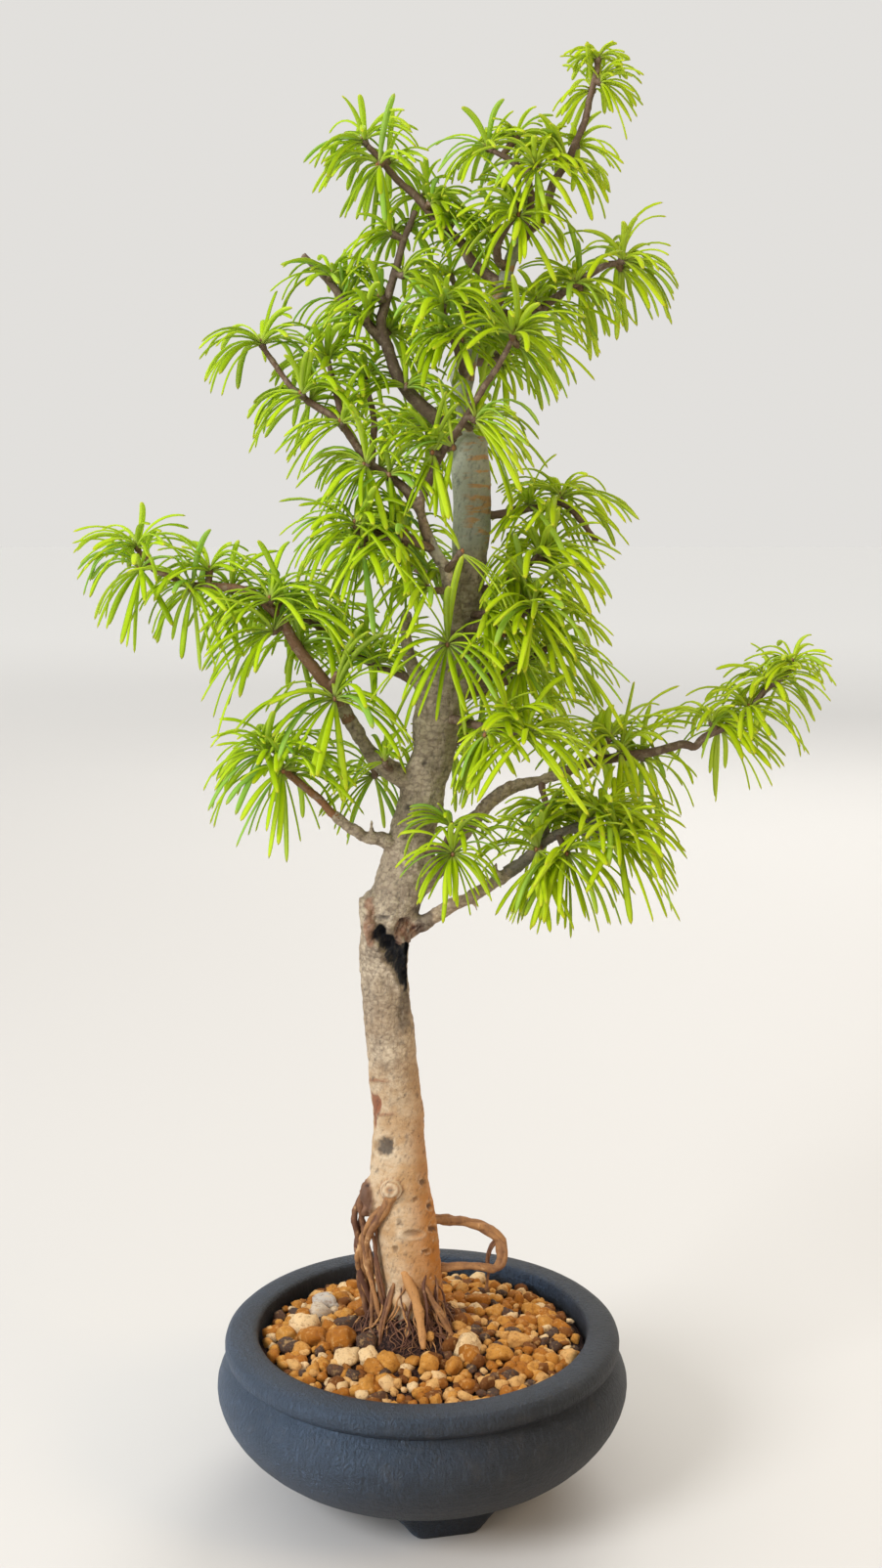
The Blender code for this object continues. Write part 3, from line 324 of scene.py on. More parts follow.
# The tree's plan, in mm: across, up, depth and radius of the trunk, old branches and root ball
oldWood = {
    "trunk": [(-5, 70, 0, 14), (-5, 92, 0, 13.6), (-6, 101, 0, 13.8), (-7, 119, 0, 13.2),
        (-10, 142, 0, 12.4), (-10, 164, 0, 11), (-12, 186, 0, 10.7), (-14, 208, 0, 10.5),
        (-16, 229, 0, 9.9), (-16, 242, 0, 10.5), (-14, 255, 0, 10.7), (-8, 272, 0, 11.4),
        (-5, 289, 0, 9.7), (-1, 302, 0, 9.7), (1, 314, 0, 9.5), (5, 326, 0, 8.9), (6, 339, 0, 9.5),
        (8, 350, 0, 9.8), (12, 363, -1, 8.6), (17, 378, 0, 6.6), (19, 396, 1, 6.9), (20, 412, 1, 7.9),
        (21, 428, 1, 7.9), (20, 443, 0, 8.1), (20, 456, 0, 7.5)],
    "new_leader": [(20, 444, 1, 4), (18, 461, 1, 3.1), (17, 471, 0, 3.4), (17, 480, 0, 5.2),
        (19, 488, 0, 4.4), (22, 495, 0, 3.1), (27, 504, 0, 3), (33, 516, 0, 3), (36, 526, 0, 3),
        (39, 532, 0, 3.1), (40.5, 534, 0, 2.5)],
    "left_branch": [(-3, 312, -1, 5.3), (-11, 318, -4, 4.9), (-21, 326, -8, 3.6), (-28, 337, -11, 3.2),
        (-34, 347, -14, 3.1)],
    "low_left_branch": [(-6, 286, -2, 4), (-13, 288, -5, 3.6), (-17, 290, -8, 3.2), (-23, 290, -10, 2.4),
        (-29, 294, -12, 2.4), (-37, 300, -14, 2.1)],
    "low_right_branch": [(-10, 248, -1, 5), (0, 253, -4, 4.1), (11, 260, -6, 3.6), (21, 265, -8, 3.2),
        (32, 272, -9, 3.2), (42, 279, -10, 3)],
    "right_branch": [(-3, 272, 2, 5.3), (6, 276, 4, 4.9), (12, 285, 7, 4.5), (23, 299, 12, 4.1),
        (36, 311, 16, 3.9), (50, 315, 19, 3.2), (65, 320, 22, 2.7)],
    "front_riser": [(15, 372, -3, 4.6), (15, 382, -11, 4.5), (12, 391, -17, 4.4), (10, 402, -19, 4),
        (5, 411, -20, 3.6), (1, 421, -21, 3.2), (-1, 430, -22, 2.9)],
    "riser_fork_left": [(-1, 428, -22, 2.6), (-5, 433, -22, 2.3)],
    "riser_fork_right": [(-1, 428, -22, 2.6), (2, 435.5, -25, 2)],
    "cut_stub_left": [(2, 352, -3, 4), (-4, 363, -6, 2.9), (-6, 374, -7, 2.6), (-6, 385, -7, 2.6)],
    "cut_stub_right": [(14, 350, -3, 4.4), (22, 362, -6, 3.6), (28, 370, -7, 3), (32, 376, -8, 2.6)],
    "wound_lip": [(-24, 264, -4, 2.6), (-23, 254, -8, 3), (-20, 244, -10, 3), (-15, 235, -9, 2)],
    "root_ball": [(-5, 35, -1, 24.2), (-5, 67, -1, 24.2), (-5, 74, -1, 20.5), (-5, 80, -1, 13)],
}

# Roots on the plan, in the same way. Needles keep clear of them as of all the wood.
planRoots = {
    "aerial_root": [(-12, 131, -9, 2.4), (-22, 119, -8, 2), (-26, 110, -3, 2), (-27, 97, 1, 2.2),
        (-24, 84, 3, 2.3), (-21, 74, 3, 2.4)],
    "thin_root": [(-21, 116, -7, 1.3), (-20, 101, -9, 1.2), (-18, 88, -11, 1.2), (-15, 73, -11, 1.2)],
    "loop_root": [(2, 121, 3, 2.4), (15, 120, 8, 2.4), (24, 118, 10, 2.3), (30, 115, 10, 2.3),
        (35, 109, 8, 2.4), (35, 103, 6, 2.3), (32, 98, 4, 2), (26, 99, 2, 1.8), (16, 99, 0, 1.8),
        (2, 98, 0, 2)],
    "hanging_root": [(33, 113, 9, 1.2), (29, 105, 8, 1), (29, 96, 8, 0.9), (28, 88, 8, 0.7)],
    "tan_root": [(-8, 98, -10, 2.2), (-4, 85, -16, 2), (-1, 75, -18, 1.9), (0, 63, -18, 1.5)],
    "front_root_left": [(-15, 90, -8, 2), (-17, 79, -13, 1.7), (-18, 69, -13, 1.2)],
    "front_root_right": [(0, 91, -8, 2.2), (8, 83, -11, 1.8), (14, 73, -6, 1.2)],
}

# Rounded growth: centre, then half sizes across, deep and up
swellings = {
    "root_flare": ((-6, 88, 0), (15.5, 15, 9)),
    "side_callus": ((-22, 131, -1), (5, 6, 9.5)),
    "ring_knot": ((-12, 135, -10), (4.5, 4.5, 4.5)),
    "wound_shoulder": ((-19, 262, -2), (6.5, 7, 6)),
    "branch_collar": ((-1, 277, 0), (8, 8, 12)),
}

# Leafy stems. Twigs run across, up, depth. A whorl has its centre, the way it faces
# (right, back, up), its needles' length and their number on a sparse shoot.
leafyStems = {
    "stem_top_leader": dict(root=(39, 532, 0), radii=(2.2, 1.3), twigs=[
        [(43.5, 537.5, 0), (48, 541, 1), (51, 549, 2), (53, 556, 3), (58, 563, 3), (61, 570, 3),
         (65, 579, 2), (67, 588, 1), (69, 596, 0), (70, 602, 0)]],
        whorls=[(70, 601, 0, (0, 0, 9), 15, 13), (71, 594, -1, (7, -2, 5), 24, 10),
            (68, 591, 4, (-7, 2, 4), 24, 8), (58, 563, -4, (6, -3, 6), 29, 12),
            (52, 567, -4, (1, -3, 8), 26, 11), (62, 570, 8, (5, 3, 7), 24, 8)]),
    "stem_top_middle": dict(root=(40, 533, 0), radii=(1.8, 1.2), twigs=[
        [(42, 541, -7), (44, 549, -12), (42, 559, -12), (35, 565, -11), (29, 568, -10)]],
        whorls=[(46, 562, -17, (0, -9, 2), 29, 13), (27, 569, -9, (-5, -1, 8), 30, 13),
            (38, 573, -3, (-1, 2, 9), 26, 10)]),
    "stem_top_front": dict(root=(35, 523, 0), radii=(2, 1.2), twigs=[
        [(31, 526, -6), (31, 532, -9), (34, 538, -11), (37, 542, -13)]],
        whorls=[(39, 543, -17, (0, -9, 3), 32, 15), (30, 538, -3, (-6, 2, 6), 27, 10),
            (39, 548, -7, (3, 0, 8), 27, 10)]),
    "stem_top_left": dict(root=(33, 516, 0), radii=(2.6, 1.2), twigs=[
        [(27, 520, 2), (20, 526, 2), (17, 532, 2), (11, 537, 3), (6, 542, 3), (-2, 551, 2), (-7, 555, 2),
         (-12, 560, 1), (-17, 566, 0), (-21, 570, -1)]],
        whorls=[(-22, 571, -2, (-5, -1, 7), 30, 13), (-16, 563, -5, (-8, -4, -3), 29, 12),
            (-13, 564, 6, (5, 2, 7), 29, 9), (4, 548, -3, (3, -3, 8), 26, 12),
            (1, 550, 9, (-3, 4, 8), 24, 8), (12, 540, -3, (1, -2, 9), 26, 11),
            (19, 530, 9, (2, 5, 7), 26, 9)]),
    "stem_left_upright": dict(root=(18, 452, 0), radii=(3.4, 1.4), twigs=[
        [(8, 462, -5), (-2, 471, -6), (-9, 480, -6), (-13, 491, -6), (-16, 501, -6), (-14, 509, -5),
         (-10, 522, -4), (-7, 533, -3), (-2, 545, -2)],
        [(-16, 496, -5), (-20, 499, -7), (-22, 502, -9)],
        [(-15, 494, -4), (-24, 504, 1), (-30, 509, 3), (-36, 517, 4), (-42, 523, 4), (-47, 528, 4)]],
        whorls=[(-11, 536, -4, (-6, 0, 7), 32, 11), (-5, 538, 3, (-2, 3, 8), 27, 9),
            (-7, 520, -7, (6, -1, 6), 30, 11), (-16, 511, -9, (-5, -2, 7), 29, 11),
            (-22, 503, -11, (-3, -2, 8), 31, 11), (-13, 498, 3, (6, 3, 6), 33, 11),
            (-6, 476, -12, (1, -5, 8), 31, 11), (-36, 520, 0, (0, -2, 9), 29, 13),
            (-30, 509, 8, (-5, 4, 7), 29, 9)]),
    "stem_left_high": dict(root=(-3, 430.5, -22), radii=(2.2, 1.2), twigs=[
        [(-7, 436, -22), (-14, 441, -22), (-22, 447, -22), (-33, 462, -22), (-46, 471, -20),
         (-53, 477, -18), (-63, 491, -15)],
        [(-31, 459, -21), (-34, 473, -17), (-37, 485, -13)],
        [(-20, 446, -21), (-19, 463, -14), (-22, 477, -9)]],
        whorls=[(-64, 493, -15, (-2, -1, 9), 36, 15), (-48, 473, -24, (-5, -3, 7), 34, 12),
            (-45, 470, -16, (2, 5, 7), 31, 9), (-38, 487, -12, (-2, -1, 9), 33, 12),
            (-32, 462, -27, (-5, -5, 6), 33, 12), (-22, 480, -8, (-1, -1, 9), 33, 12),
            (-22, 445, -27, (-8, -4, 2), 36, 13), (-13, 441, -26, (1, -9, 1), 31, 10),
            (-17, 443, -17, (-2, 5, 7), 29, 9)]),
    "stem_riser_right": dict(root=(1, 433, -24), radii=(2, 1.2), twigs=[
        [(4, 440, -27), (7, 447, -29), (12, 455, -30), (17, 462, -30), (26, 477, -29), (31, 484, -28),
         (37, 495, -27)]],
        whorls=[(37, 497, -29, (2, -2, 8), 36, 15), (39, 493, -23, (7, 2, 5), 34, 10),
            (22, 463, -33, (7, -2, 5), 38, 13), (20, 460, -25, (6, 5, 4), 33, 9),
            (5, 450, -33, (-2, -9, 1), 34, 13), (13, 452, -34, (2, -9, -1), 28, 9)]),
    "stem_upper_right": dict(root=(27, 504, 0), radii=(2.4, 1.4), twigs=[
        [(33, 505, 2), (39, 504, 2), (46, 506, 2), (58, 514, 0), (72, 523, -2), (79, 525, -3)]],
        whorls=[(81, 526, -5, (6, -1, 7), 32, 13), (80, 523, 2, (8, 4, 2), 32, 10),
            (62, 517, -5, (1, -2, 9), 29, 13), (64, 515, 5, (6, 5, 4), 30, 10),
            (46, 510, -3, (1, -3, 9), 34, 12), (50, 507, 8, (5, 5, 6), 33, 9)]),
    "stem_upper_front": dict(root=(18, 480, 0), radii=(2, 1.2), twigs=[
        [(17, 483, -8), (15, 490, -15), (11, 500, -21), (9, 506, -25)]],
        whorls=[(9, 509, -27, (0, -2, 9), 33, 13), (16, 494, -21, (4, -4, 7), 33, 12),
            (8, 496, -19, (-6, -3, 6), 31, 11)]),
    "stem_upper_back": dict(root=(22, 495, 0), radii=(2.2, 1.2), twigs=[
        [(21, 497, 6), (20, 502, 17), (16, 511, 27), (13, 518, 33)]],
        whorls=[(12, 520, 35, (-1, 2, 9), 29, 12), (22, 507, 24, (5, 3, 7), 33, 11),
            (12, 510, 26, (-6, 2, 6), 33, 11), (20, 498, 20, (1, 8, 4), 29, 9)]),
    "stem_upper_right_back": dict(root=(19, 487, 0), radii=(2, 1.2), twigs=[
        [(24, 486, 7), (30, 487, 18), (33, 489, 32), (37, 490, 45)]],
        whorls=[(37, 491, 48, (2, 4, 8), 33, 13), (30, 491, 24, (2, 1, 9), 33, 10),
            (33, 485, 33, (7, 2, -5), 29, 9)]),
    "stem_chop_back": dict(root=(20, 448, 0), radii=(2.4, 1.2), twigs=[
        [(15, 450, 10), (9, 454, 24), (4, 459, 40), (-1, 461, 52)]],
        whorls=[(-3, 463, 55, (-4, 4, 7), 33, 13), (5, 461, 34, (-2, 0, 9), 31, 11),
            (3, 455, 44, (0, 8, -4), 29, 9), (12, 456, 27, (6, 2, 6), 33, 11)]),
    "stem_mid_left": dict(root=(5, 411, -20), radii=(2, 1.3), twigs=[
        [(0, 413, -24), (-7, 416, -26), (-17, 416, -27), (-24, 415, -28), (-26, 419, -31)]],
        whorls=[(-27, 421, -33, (-1, -4, 8), 34, 14), (-24, 412, -30, (-8, -4, -3), 42, 11),
            (-7, 418, -30, (-1, -3, 8), 36, 12), (-7, 413, -23, (-6, 2, -6), 38, 11),
            (-18, 418, -23, (-1, 3, 8), 34, 9)]),
    "stem_mid_left_back": dict(root=(19, 396, 1), radii=(2.2, 1.2), twigs=[
        [(12, 398, 11), (2, 401, 25), (-8, 406, 40), (-16, 411, 52)]],
        whorls=[(-18, 412, 55, (-4, 3, 7), 36, 13), (-8, 409, 37, (-2, 0, 9), 34, 11),
            (1, 403, 30, (2, 4, 8), 34, 10)]),
    "stem_back": dict(root=(5, 322, 0), radii=(2.4, 1.3), twigs=[
        [(7, 326, 12), (10, 329, 26), (15, 331, 40), (20, 334, 52)]],
        whorls=[(22, 335, 55, (3, 4, 8), 32, 12), (14, 333, 34, (-1, 1, 9), 28, 10),
            (13, 328, 38, (-5, 8, 1), 28, 9)]),
    "spur_riser_left": dict(root=(11, 394, -18), radii=(1.7, 1.4), twigs=[
        [(7, 394, -22), (4, 394, -25)]],
        whorls=[(3, 394, -26, (-7, -3, 5), 34, 12)]),
    "spur_fork_front": dict(root=(14, 377, -8), radii=(1.8, 1.5), twigs=[
        [(12, 373, -16), (11, 372, -23)]],
        whorls=[(11, 372, -25, (-1, -9, -1), 42, 14)]),
    "spur_riser_right": dict(root=(10, 402, -19), radii=(1.7, 1.4), twigs=[
        [(13, 405, -24), (15, 408, -28)]],
        whorls=[(15, 409, -29, (5, -4, 6), 38, 12)]),
    "spur_leader_front": dict(root=(18, 384, 0), radii=(1.8, 1.4), twigs=[
        [(24, 384, -9), (27, 385, -15)]],
        whorls=[(27, 385, -17, (3, -4, 7), 36, 13)]),
    "stem_right_upper": dict(root=(21, 425, 1), radii=(2, 1.2), twigs=[
        [(31, 425, 1), (40, 427, 0), (47, 428, -2), (57, 430, -4), (65, 423, -4), (72, 414, -4)]],
        whorls=[(57, 432, -6, (1, -1, 9), 38, 13), (54, 428, 1, (2, 7, -5), 36, 11),
            (44, 429, -6, (-2, -4, 8), 32, 10)]),
    "stem_right_a": dict(root=(19, 393, 1), radii=(2.2, 1.3), twigs=[
        [(28, 395, 0), (34, 398, -2), (41, 402, -6), (48, 408, -9)]],
        whorls=[(49, 409, -11, (3, -2, 8), 40, 14), (51, 406, -3, (7, 3, 5), 40, 11),
            (39, 403, -11, (1, -9, 3), 34, 11)]),
    "stem_right_b": dict(root=(16, 378, -6), radii=(2.2, 1.3), twigs=[
        [(26, 379, -13), (33, 380, -16), (40, 383, -18), (45, 386, -20)]],
        whorls=[(46, 387, -22, (6, -3, 6), 44, 14), (43, 390, -13, (3, 2, 8), 38, 10),
            (34, 376, -18, (0, -9, -1), 32, 10)]),
    "stem_right_c": dict(root=(12, 353, 2), radii=(3, 1.6), twigs=[
        [(26, 357, 5), (32, 359, 4), (38, 363, 3), (45, 366, 1), (52, 370, -1)]],
        whorls=[(54, 371, -2, (7, -1, 6), 44, 14), (47, 369, 8, (4, 4, 7), 38, 11),
            (42, 364, -5, (4, -9, 1), 36, 11)]),
    "stem_right_d": dict(root=(8, 341, 0), radii=(2.2, 1.4), twigs=[
        [(16, 340, -12), (23, 338, -20), (34, 336, -28), (42, 334, -33)]],
        whorls=[(44, 334, -36, (3, -4, 7), 44, 16), (27, 334, -28, (-4, -9, 0), 32, 13),
            (36, 339, -24, (2, 1, 9), 36, 10)]),
    "stem_right_back": dict(root=(9, 349, 0), radii=(2.6, 1.3), twigs=[
        [(19, 351, 13), (25, 353, 26), (35, 356, 42), (43, 360, 56)]],
        whorls=[(45, 361, 59, (4, 4, 7), 38, 14), (34, 359, 38, (1, 0, 9), 34, 11),
            (27, 351, 33, (-5, 7, 3), 34, 10), (39, 355, 45, (8, 2, -3), 34, 10)]),
    "stem_right_long": dict(root=(58, 317, 20), radii=(2.6, 1.2), twigs=[
        [(66, 321, 22), (79, 324, 23), (92, 326, 24), (98, 327, 24), (109, 330, 24), (114, 329, 24),
         (118, 333, 23), (128, 338, 21), (136, 344, 20), (144, 354, 18), (151, 359, 16), (154, 362, 15)],
        [(72, 322, 22), (75, 326, 18), (78, 331, 15)]],
        whorls=[(121, 339, 20, (0, -2, 9), 36, 14), (124, 336, 25, (7, 6, 2), 38, 10),
            (136, 345, 17, (1, -3, 9), 40, 12), (145, 356, 15, (-2, -1, 9), 30, 11),
            (148, 355, 21, (-2, 8, 3), 27, 10), (154, 363, 14, (-1, -2, 9), 24, 14),
            (79, 332, 14, (2, -1, 9), 42, 14), (74, 328, 24, (-1, 3, 8), 36, 11),
            (83, 327, 18, (8, -4, 2), 42, 11), (92, 324, 28, (5, 8, 1), 32, 9)]),
    "stem_low_right": dict(root=(36, 275, -10), radii=(2.9, 1.4), twigs=[
        [(43, 280, -10), (49, 286, -12), (54, 290, -13), (62, 294, -13), (70, 297, -12), (75, 298, -11)],
        [(53, 289, -12), (52, 295, -7), (53, 299, -5)],
        [(63, 294, -13), (72, 292, -16), (81, 290, -17)]],
        whorls=[(61, 284, -21, (1, -9, -2), 40, 16), (76, 299, -10, (2, -1, 9), 42, 15),
            (83, 290, -18, (7, -3, 5), 42, 13), (49, 285, -17, (-5, -7, 3), 36, 10),
            (68, 295, -6, (2, 5, 7), 38, 11), (53, 301, -4, (0, 1, 9), 30, 10)]),
    "spur_right_under": dict(root=(50, 315, 19), radii=(1.6, 1.4), twigs=[
        [(51, 309, 16), (53, 303, 13), (54, 300, 11)]],
        whorls=[(54, 299, 10, (4, -4, -7), 28, 10)]),
    "stem_low_star": dict(root=(-4, 284, 0), radii=(2, 1.4), twigs=[
        [(8, 286, -12), (10, 286, -17), (12, 283, -22)],
        [(9, 286, -16), (11, 290, -16), (12, 293, -15)]],
        whorls=[(13, 283, -24, (1, -9, 2), 28, 15), (12, 294, -14, (2, 0, 9), 27, 11)]),
    "stem_low_left": dict(root=(-33, 297, -13), radii=(2, 1.6), twigs=[
        [(-38, 301, -14), (-43, 307, -15), (-54, 316, -17), (-58, 320, -18), (-64, 324, -19)]],
        whorls=[(-65, 326, -20, (-6, -2, 6), 38, 14), (-60, 326, -17, (1, 0, 9), 36, 12),
            (-58, 319, -22, (2, -9, -2), 40, 11), (-54, 317, -13, (4, 7, 4), 32, 9)]),
    "stem_left_long": dict(root=(-30, 340, -12), radii=(3, 1.3), twigs=[
        [(-35, 349, -14), (-43, 360, -16), (-51, 370, -17), (-58, 382, -18), (-67, 391, -18),
         (-77, 395, -17), (-94, 396, -15), (-103, 400, -14), (-110, 403, -13), (-113, 407, -12),
         (-116, 410, -12)],
        [(-38, 354, -15), (-36, 357, -19), (-35, 360, -21)]],
        whorls=[(-117, 411, -12, (-1, -1, 9), 36, 14), (-115, 403, -14, (-7, -5, 1), 38, 12),
            (-94, 395, -18, (-5, -7, -3), 36, 12), (-87, 402, -14, (-1, 0, 9), 34, 13),
            (-78, 394, -12, (1, 7, 5), 32, 9), (-62, 390, -23, (-3, -3, 8), 38, 12),
            (-56, 389, -15, (3, 0, 8), 42, 11), (-61, 377, -22, (-7, -2, 5), 46, 14),
            (-50, 371, -11, (5, 5, 6), 34, 9), (-36, 349, -21, (0, -9, 1), 48, 17)]),
    "stem_left_back": dict(root=(5, 352, 0), radii=(2.2, 1.3), twigs=[
        [(-4, 357, 9), (-10, 360, 12), (-19, 363, 14), (-31, 370, 16), (-44, 380, 16), (-52, 384, 15)]],
        whorls=[(-34, 374, 12, (0, -1, 9), 28, 12), (-43, 380, 20, (-2, 4, 8), 34, 11),
            (-53, 385, 15, (-6, 2, 7), 34, 12), (-19, 364, 9, (0, -3, 8), 36, 12),
            (-23, 366, 20, (1, 5, 8), 34, 10)]),
    "spur_left_under": dict(root=(-21, 326, -8), radii=(1.8, 1.4), twigs=[
        [(-20, 320, -3), (-19, 317, 0)]],
        whorls=[(-19, 316, 1, (-4, 8, -3), 32, 12)]),
    "spur_left_front": dict(root=(-12, 319, -5), radii=(1.8, 1.4), twigs=[
        [(-14, 320, -11), (-15, 321, -15)]],
        whorls=[(-15, 321, -16, (-2, -4, 8), 30, 11)]),
}


# Bark
barkLook = {
    # orange is painted warm shade on the trunk's right side
    "pale": (0.60, 0.45, 0.29), "tan": (0.48, 0.29, 0.135), "orange": (0.44, 0.15, 0.010),
    "paleSpeck": (0.80, 0.70, 0.54), "grey": (0.37, 0.295, 0.205), "lightGrey": (0.56, 0.46, 0.33),
    "darkSpeck": (0.20, 0.155, 0.115), "greySpeck": (0.58, 0.49, 0.37), "wrinkle": (0.16, 0.12, 0.085),
    "scale": (0.15, 0.105, 0.07), "crack": (0.055, 0.038, 0.026), "riser": (0.20, 0.115, 0.07),
    # the young leader's pale colour is painted light on its lit left side; its band colour paints stripes of
    # sunlight between needle shadows
    "greenGrey": (0.30, 0.30, 0.235), "youngLitSide": (0.60, 0.60, 0.52), "youngSpeck": (0.50, 0.50, 0.42),
    "sunStripe": (0.42, 0.215, 0.075), "peeled": (0.24, 0.085, 0.04), "bareWood": (0.72, 0.62, 0.46),
    # near black for the dark marks on the bark, also painted shade inside the wound's hollow
    "hollow": (0.010, 0.013, 0.020),
    "lowHeight": (0.245, 0.125),  # m, where the grey bark turns to orange on the way down
    "youngHeight": (0.404, 0.416), "youngAcross": (-0.012, -0.006),  # m, where the young leader starts
    "bumpHeight": 0.0009,
}


def trunkBark():
    material, wire, vary = newMaterial("trunkBark", Specular_IOR_Level=0.25)
    look = barkLook
    place = objectPlace(wire)
    across = wire.axis(place, 0)
    level = wire.axis(place, 2)
    wander = wire.noise(place, 30, 3) - 0.5
    height = level + wander * 0.07
    low = height.between(*look["lowHeight"])
    young = level.between(*look["youngHeight"]) * across.between(*look["youngAcross"])
    # the trunk's right side is painted warmer orange and darker, standing in for the warm shade that falls
    # there
    shadedRightSide = (across + wander * 0.02).between(-0.026, -0.008)
    patches = wire.noise(place, 75, 6, 0.62)
    specks = wire.noise(place, 170, 5, 0.7)
    fine = wire.noise(wire.stretch(place, (1, 1, 0.8)), 760, 6, 0.7)
    scales = wire.cells(wire.stretch(place, (0.7, 0.7, 1.2)), 560)
    wrinkles = wire.noise(wire.stretch(place, (0.35, 0.35, 1)), 430, 5, 0.65)
    sunStripes = wire.noise(wire.stretch(place, (0.22, 0.22, 1)), 430, 2)
    fissures = wire.noise(wire.stretch(place, (1, 1, 0.3)), 210, 5, 0.6)
    crack = wire.maths("ABSOLUTE", fissures - 0.5).between(0.035, 0.0)
    lowColour = wire.layered(look["tan"], [
        (patches.between(0.36, 0.62), look["pale"]),
        (shadedRightSide * (patches * 0.7 + 0.50), look["orange"]),
        (wrinkles.between(0.50, 0.36) * 0.45, look["tan"]),
        (specks.between(0.62, 0.74) * 0.5, look["paleSpeck"])])
    highColour = wire.layered(look["grey"], [
        (patches.between(0.42, 0.70), look["lightGrey"]),
        (specks.between(0.52, 0.38) * 0.45, look["darkSpeck"]),
        (specks.between(0.60, 0.72) * 0.25, look["greySpeck"]),
        (wrinkles.between(0.50, 0.34) * 0.35, look["wrinkle"]),
        (scales.between(0.45, 0.75) * 0.5, look["scale"]),
        (shadedRightSide * height.between(0.30, 0.22) * 0.5, look["tan"]),
        (across.between(-0.008, -0.014) * level.between(0.375, 0.40) * 0.6, look["riser"])])
    # the young leader: painted paler on its lit left side, with painted stripes of sunlight between needle
    # shadows on its right
    youngColour = wire.layered(look["greenGrey"], [
        (across.between(0.006, -0.002), look["youngLitSide"]),
        (sunStripes.between(0.53, 0.60) * across.between(0.0, 0.007) * 0.8, look["sunStripe"]),
        (specks.between(0.58, 0.70) * 0.5, look["youngSpeck"])])
    vary("Base Color", wire.layered(highColour, [
        (low, lowColour),
        (young, youngColour),
        (crack * (1 - low * 0.8) * (1 - young) * 0.16, look["crack"]),
        (fine.between(0.44, 0.32) * 0.42, look["crack"]),
        (mark(wire, "peel") * (patches * 0.8 + 0.5), look["peeled"]),
        (mark(wire, "pale") * 0.8, look["bareWood"]),
        # dark marks on the bark, with painted shade inside the wound's hollow
        (mark(wire, "dark"), look["hollow"])]))
    vary("Roughness", fine * 0.3 + 0.60)
    relief = fine * 0.8 + wrinkles * 0.5 + specks * 0.5 - (scales * 0.9 + crack * 0.4) * (1 - low)
    vary("Normal", wire.bump(relief, 0.6, look["bumpHeight"]))
    return material


rootSkin = {"dark": (0.125, 0.055, 0.034), "tan": (0.47, 0.235, 0.085), "speck": (0.66, 0.45, 0.24),
            "pit": (0.05, 0.026, 0.018), "bumpHeight": 0.0007}


def rootBark():
    material, wire, vary = newMaterial("rootBark", Specular_IOR_Level=0.25)
    place = objectPlace(wire)
    fine = wire.noise(wire.stretch(place, (1, 1, 0.4)), 900, 5, 0.7)
    patches = wire.noise(place, 190, 4, 0.6)
    vary("Base Color", wire.layered(rootSkin["dark"], [
        ((mark(wire, "tone") + patches * 0.9 - 0.45).between(0.1, 0.9), rootSkin["tan"]),
        (patches.between(0.62, 0.72) * 0.5, rootSkin["speck"]),
        (fine.between(0.46, 0.30) * 0.6, rootSkin["pit"])]))
    vary("Roughness", fine * 0.3 + 0.55)
    vary("Normal", wire.bump(fine + patches, 0.6, rootSkin["bumpHeight"]))
    return material


twigLook = {
    "grey": (0.20, 0.175, 0.14), "brown": (0.165, 0.100, 0.066), "orange": (0.32, 0.14, 0.052),
    "speck": (0.36, 0.275, 0.20), "pit": (0.045, 0.028, 0.022), "bumpHeight": 0.0004,
    "slim": 0.88, "foot": 1.15, "sides": 11, "step": 1.3,  # share of the plan's radius, corners round, mm
    "usualTone": 0.45,  # 0 grey, 0.5 brown, 1 orange
    "tones": {"stem_top_leader": 0.5, "stem_right_long": 0.42, "stem_low_left": 0.85, "stem_left_long": 0.7,
              "stem_low_right": 0.1, "stem_left_upright": 0.35, "stem_left_high": 0.55},
}


def twigBark():
    material, wire, vary = newMaterial("twigBark", Specular_IOR_Level=0.3)
    place = objectPlace(wire)
    patches = wire.noise(place, 260, 4, 0.6)
    fine = wire.noise(place, 1100, 5, 0.65)
    tone = mark(wire, "tone")
    vary("Base Color", wire.layered(twigLook["grey"], [
        (tone.between(0.0, 0.5), twigLook["brown"]),
        (tone.between(0.5, 1.0), twigLook["orange"]),
        (patches.between(0.50, 0.66) * 0.6, twigLook["speck"]),
        (fine.between(0.46, 0.34) * 0.6, twigLook["pit"])]))
    vary("Roughness", patches * 0.3 + 0.5)
    vary("Normal", wire.bump(fine + patches, 0.5, twigLook["bumpHeight"]))
    return material


# Needles
needleLook = {
    "slimmest": 1.85, "widening": 0.021, "thickness": 0.72,  # mm, and mm of width for each mm of length
    "stops": (0, 0.05, 0.14, 0.26, 0.39, 0.52, 0.65, 0.77, 0.88, 0.96, 1.0),  # shares of the length
    "widths": (0.42, 0.52, 0.70, 0.86, 0.95, 1.0, 1.0, 0.97, 0.88, 0.60),  # shares of the width there
    "section": ((-1, 0, 0.4), (-0.45, 0.5, 0), (0.45, 0.5, 0), (1, 0, 0.4), (0, -0.5, 1)),  # side, up, below
    "droop": (0.95, 1.90), "lift": 0.30,
    "crowd": 2.1, "crowded": {"stem_low_right": 1.45, "stem_low_star": 1.15, "stem_top_left": 1.15},
    "beforeWood": ("stem_low_star", "spur_fork_front"),
    "deep": (0.33, 0.50, 0.003), "fresh": (0.63, 0.83, 0.010), "lime": (0.78, 0.93, 0.060),
    "bluish": (0.30, 0.62, 0.14), "pale": (0.66, 0.74, 0.22), "yellow": (0.80, 0.62, 0.06),
    "warmLitGold": (0.70, 0.74, 0.003), "warmLitAcross": (-0.04, 0.07),
    "seeThrough": 0.48, "bumpHeight": 0.0002,
    "shadeLift": 0.35, "shadeTurn": 0.15,  # keep narrow needles from shading themselves in dots
}
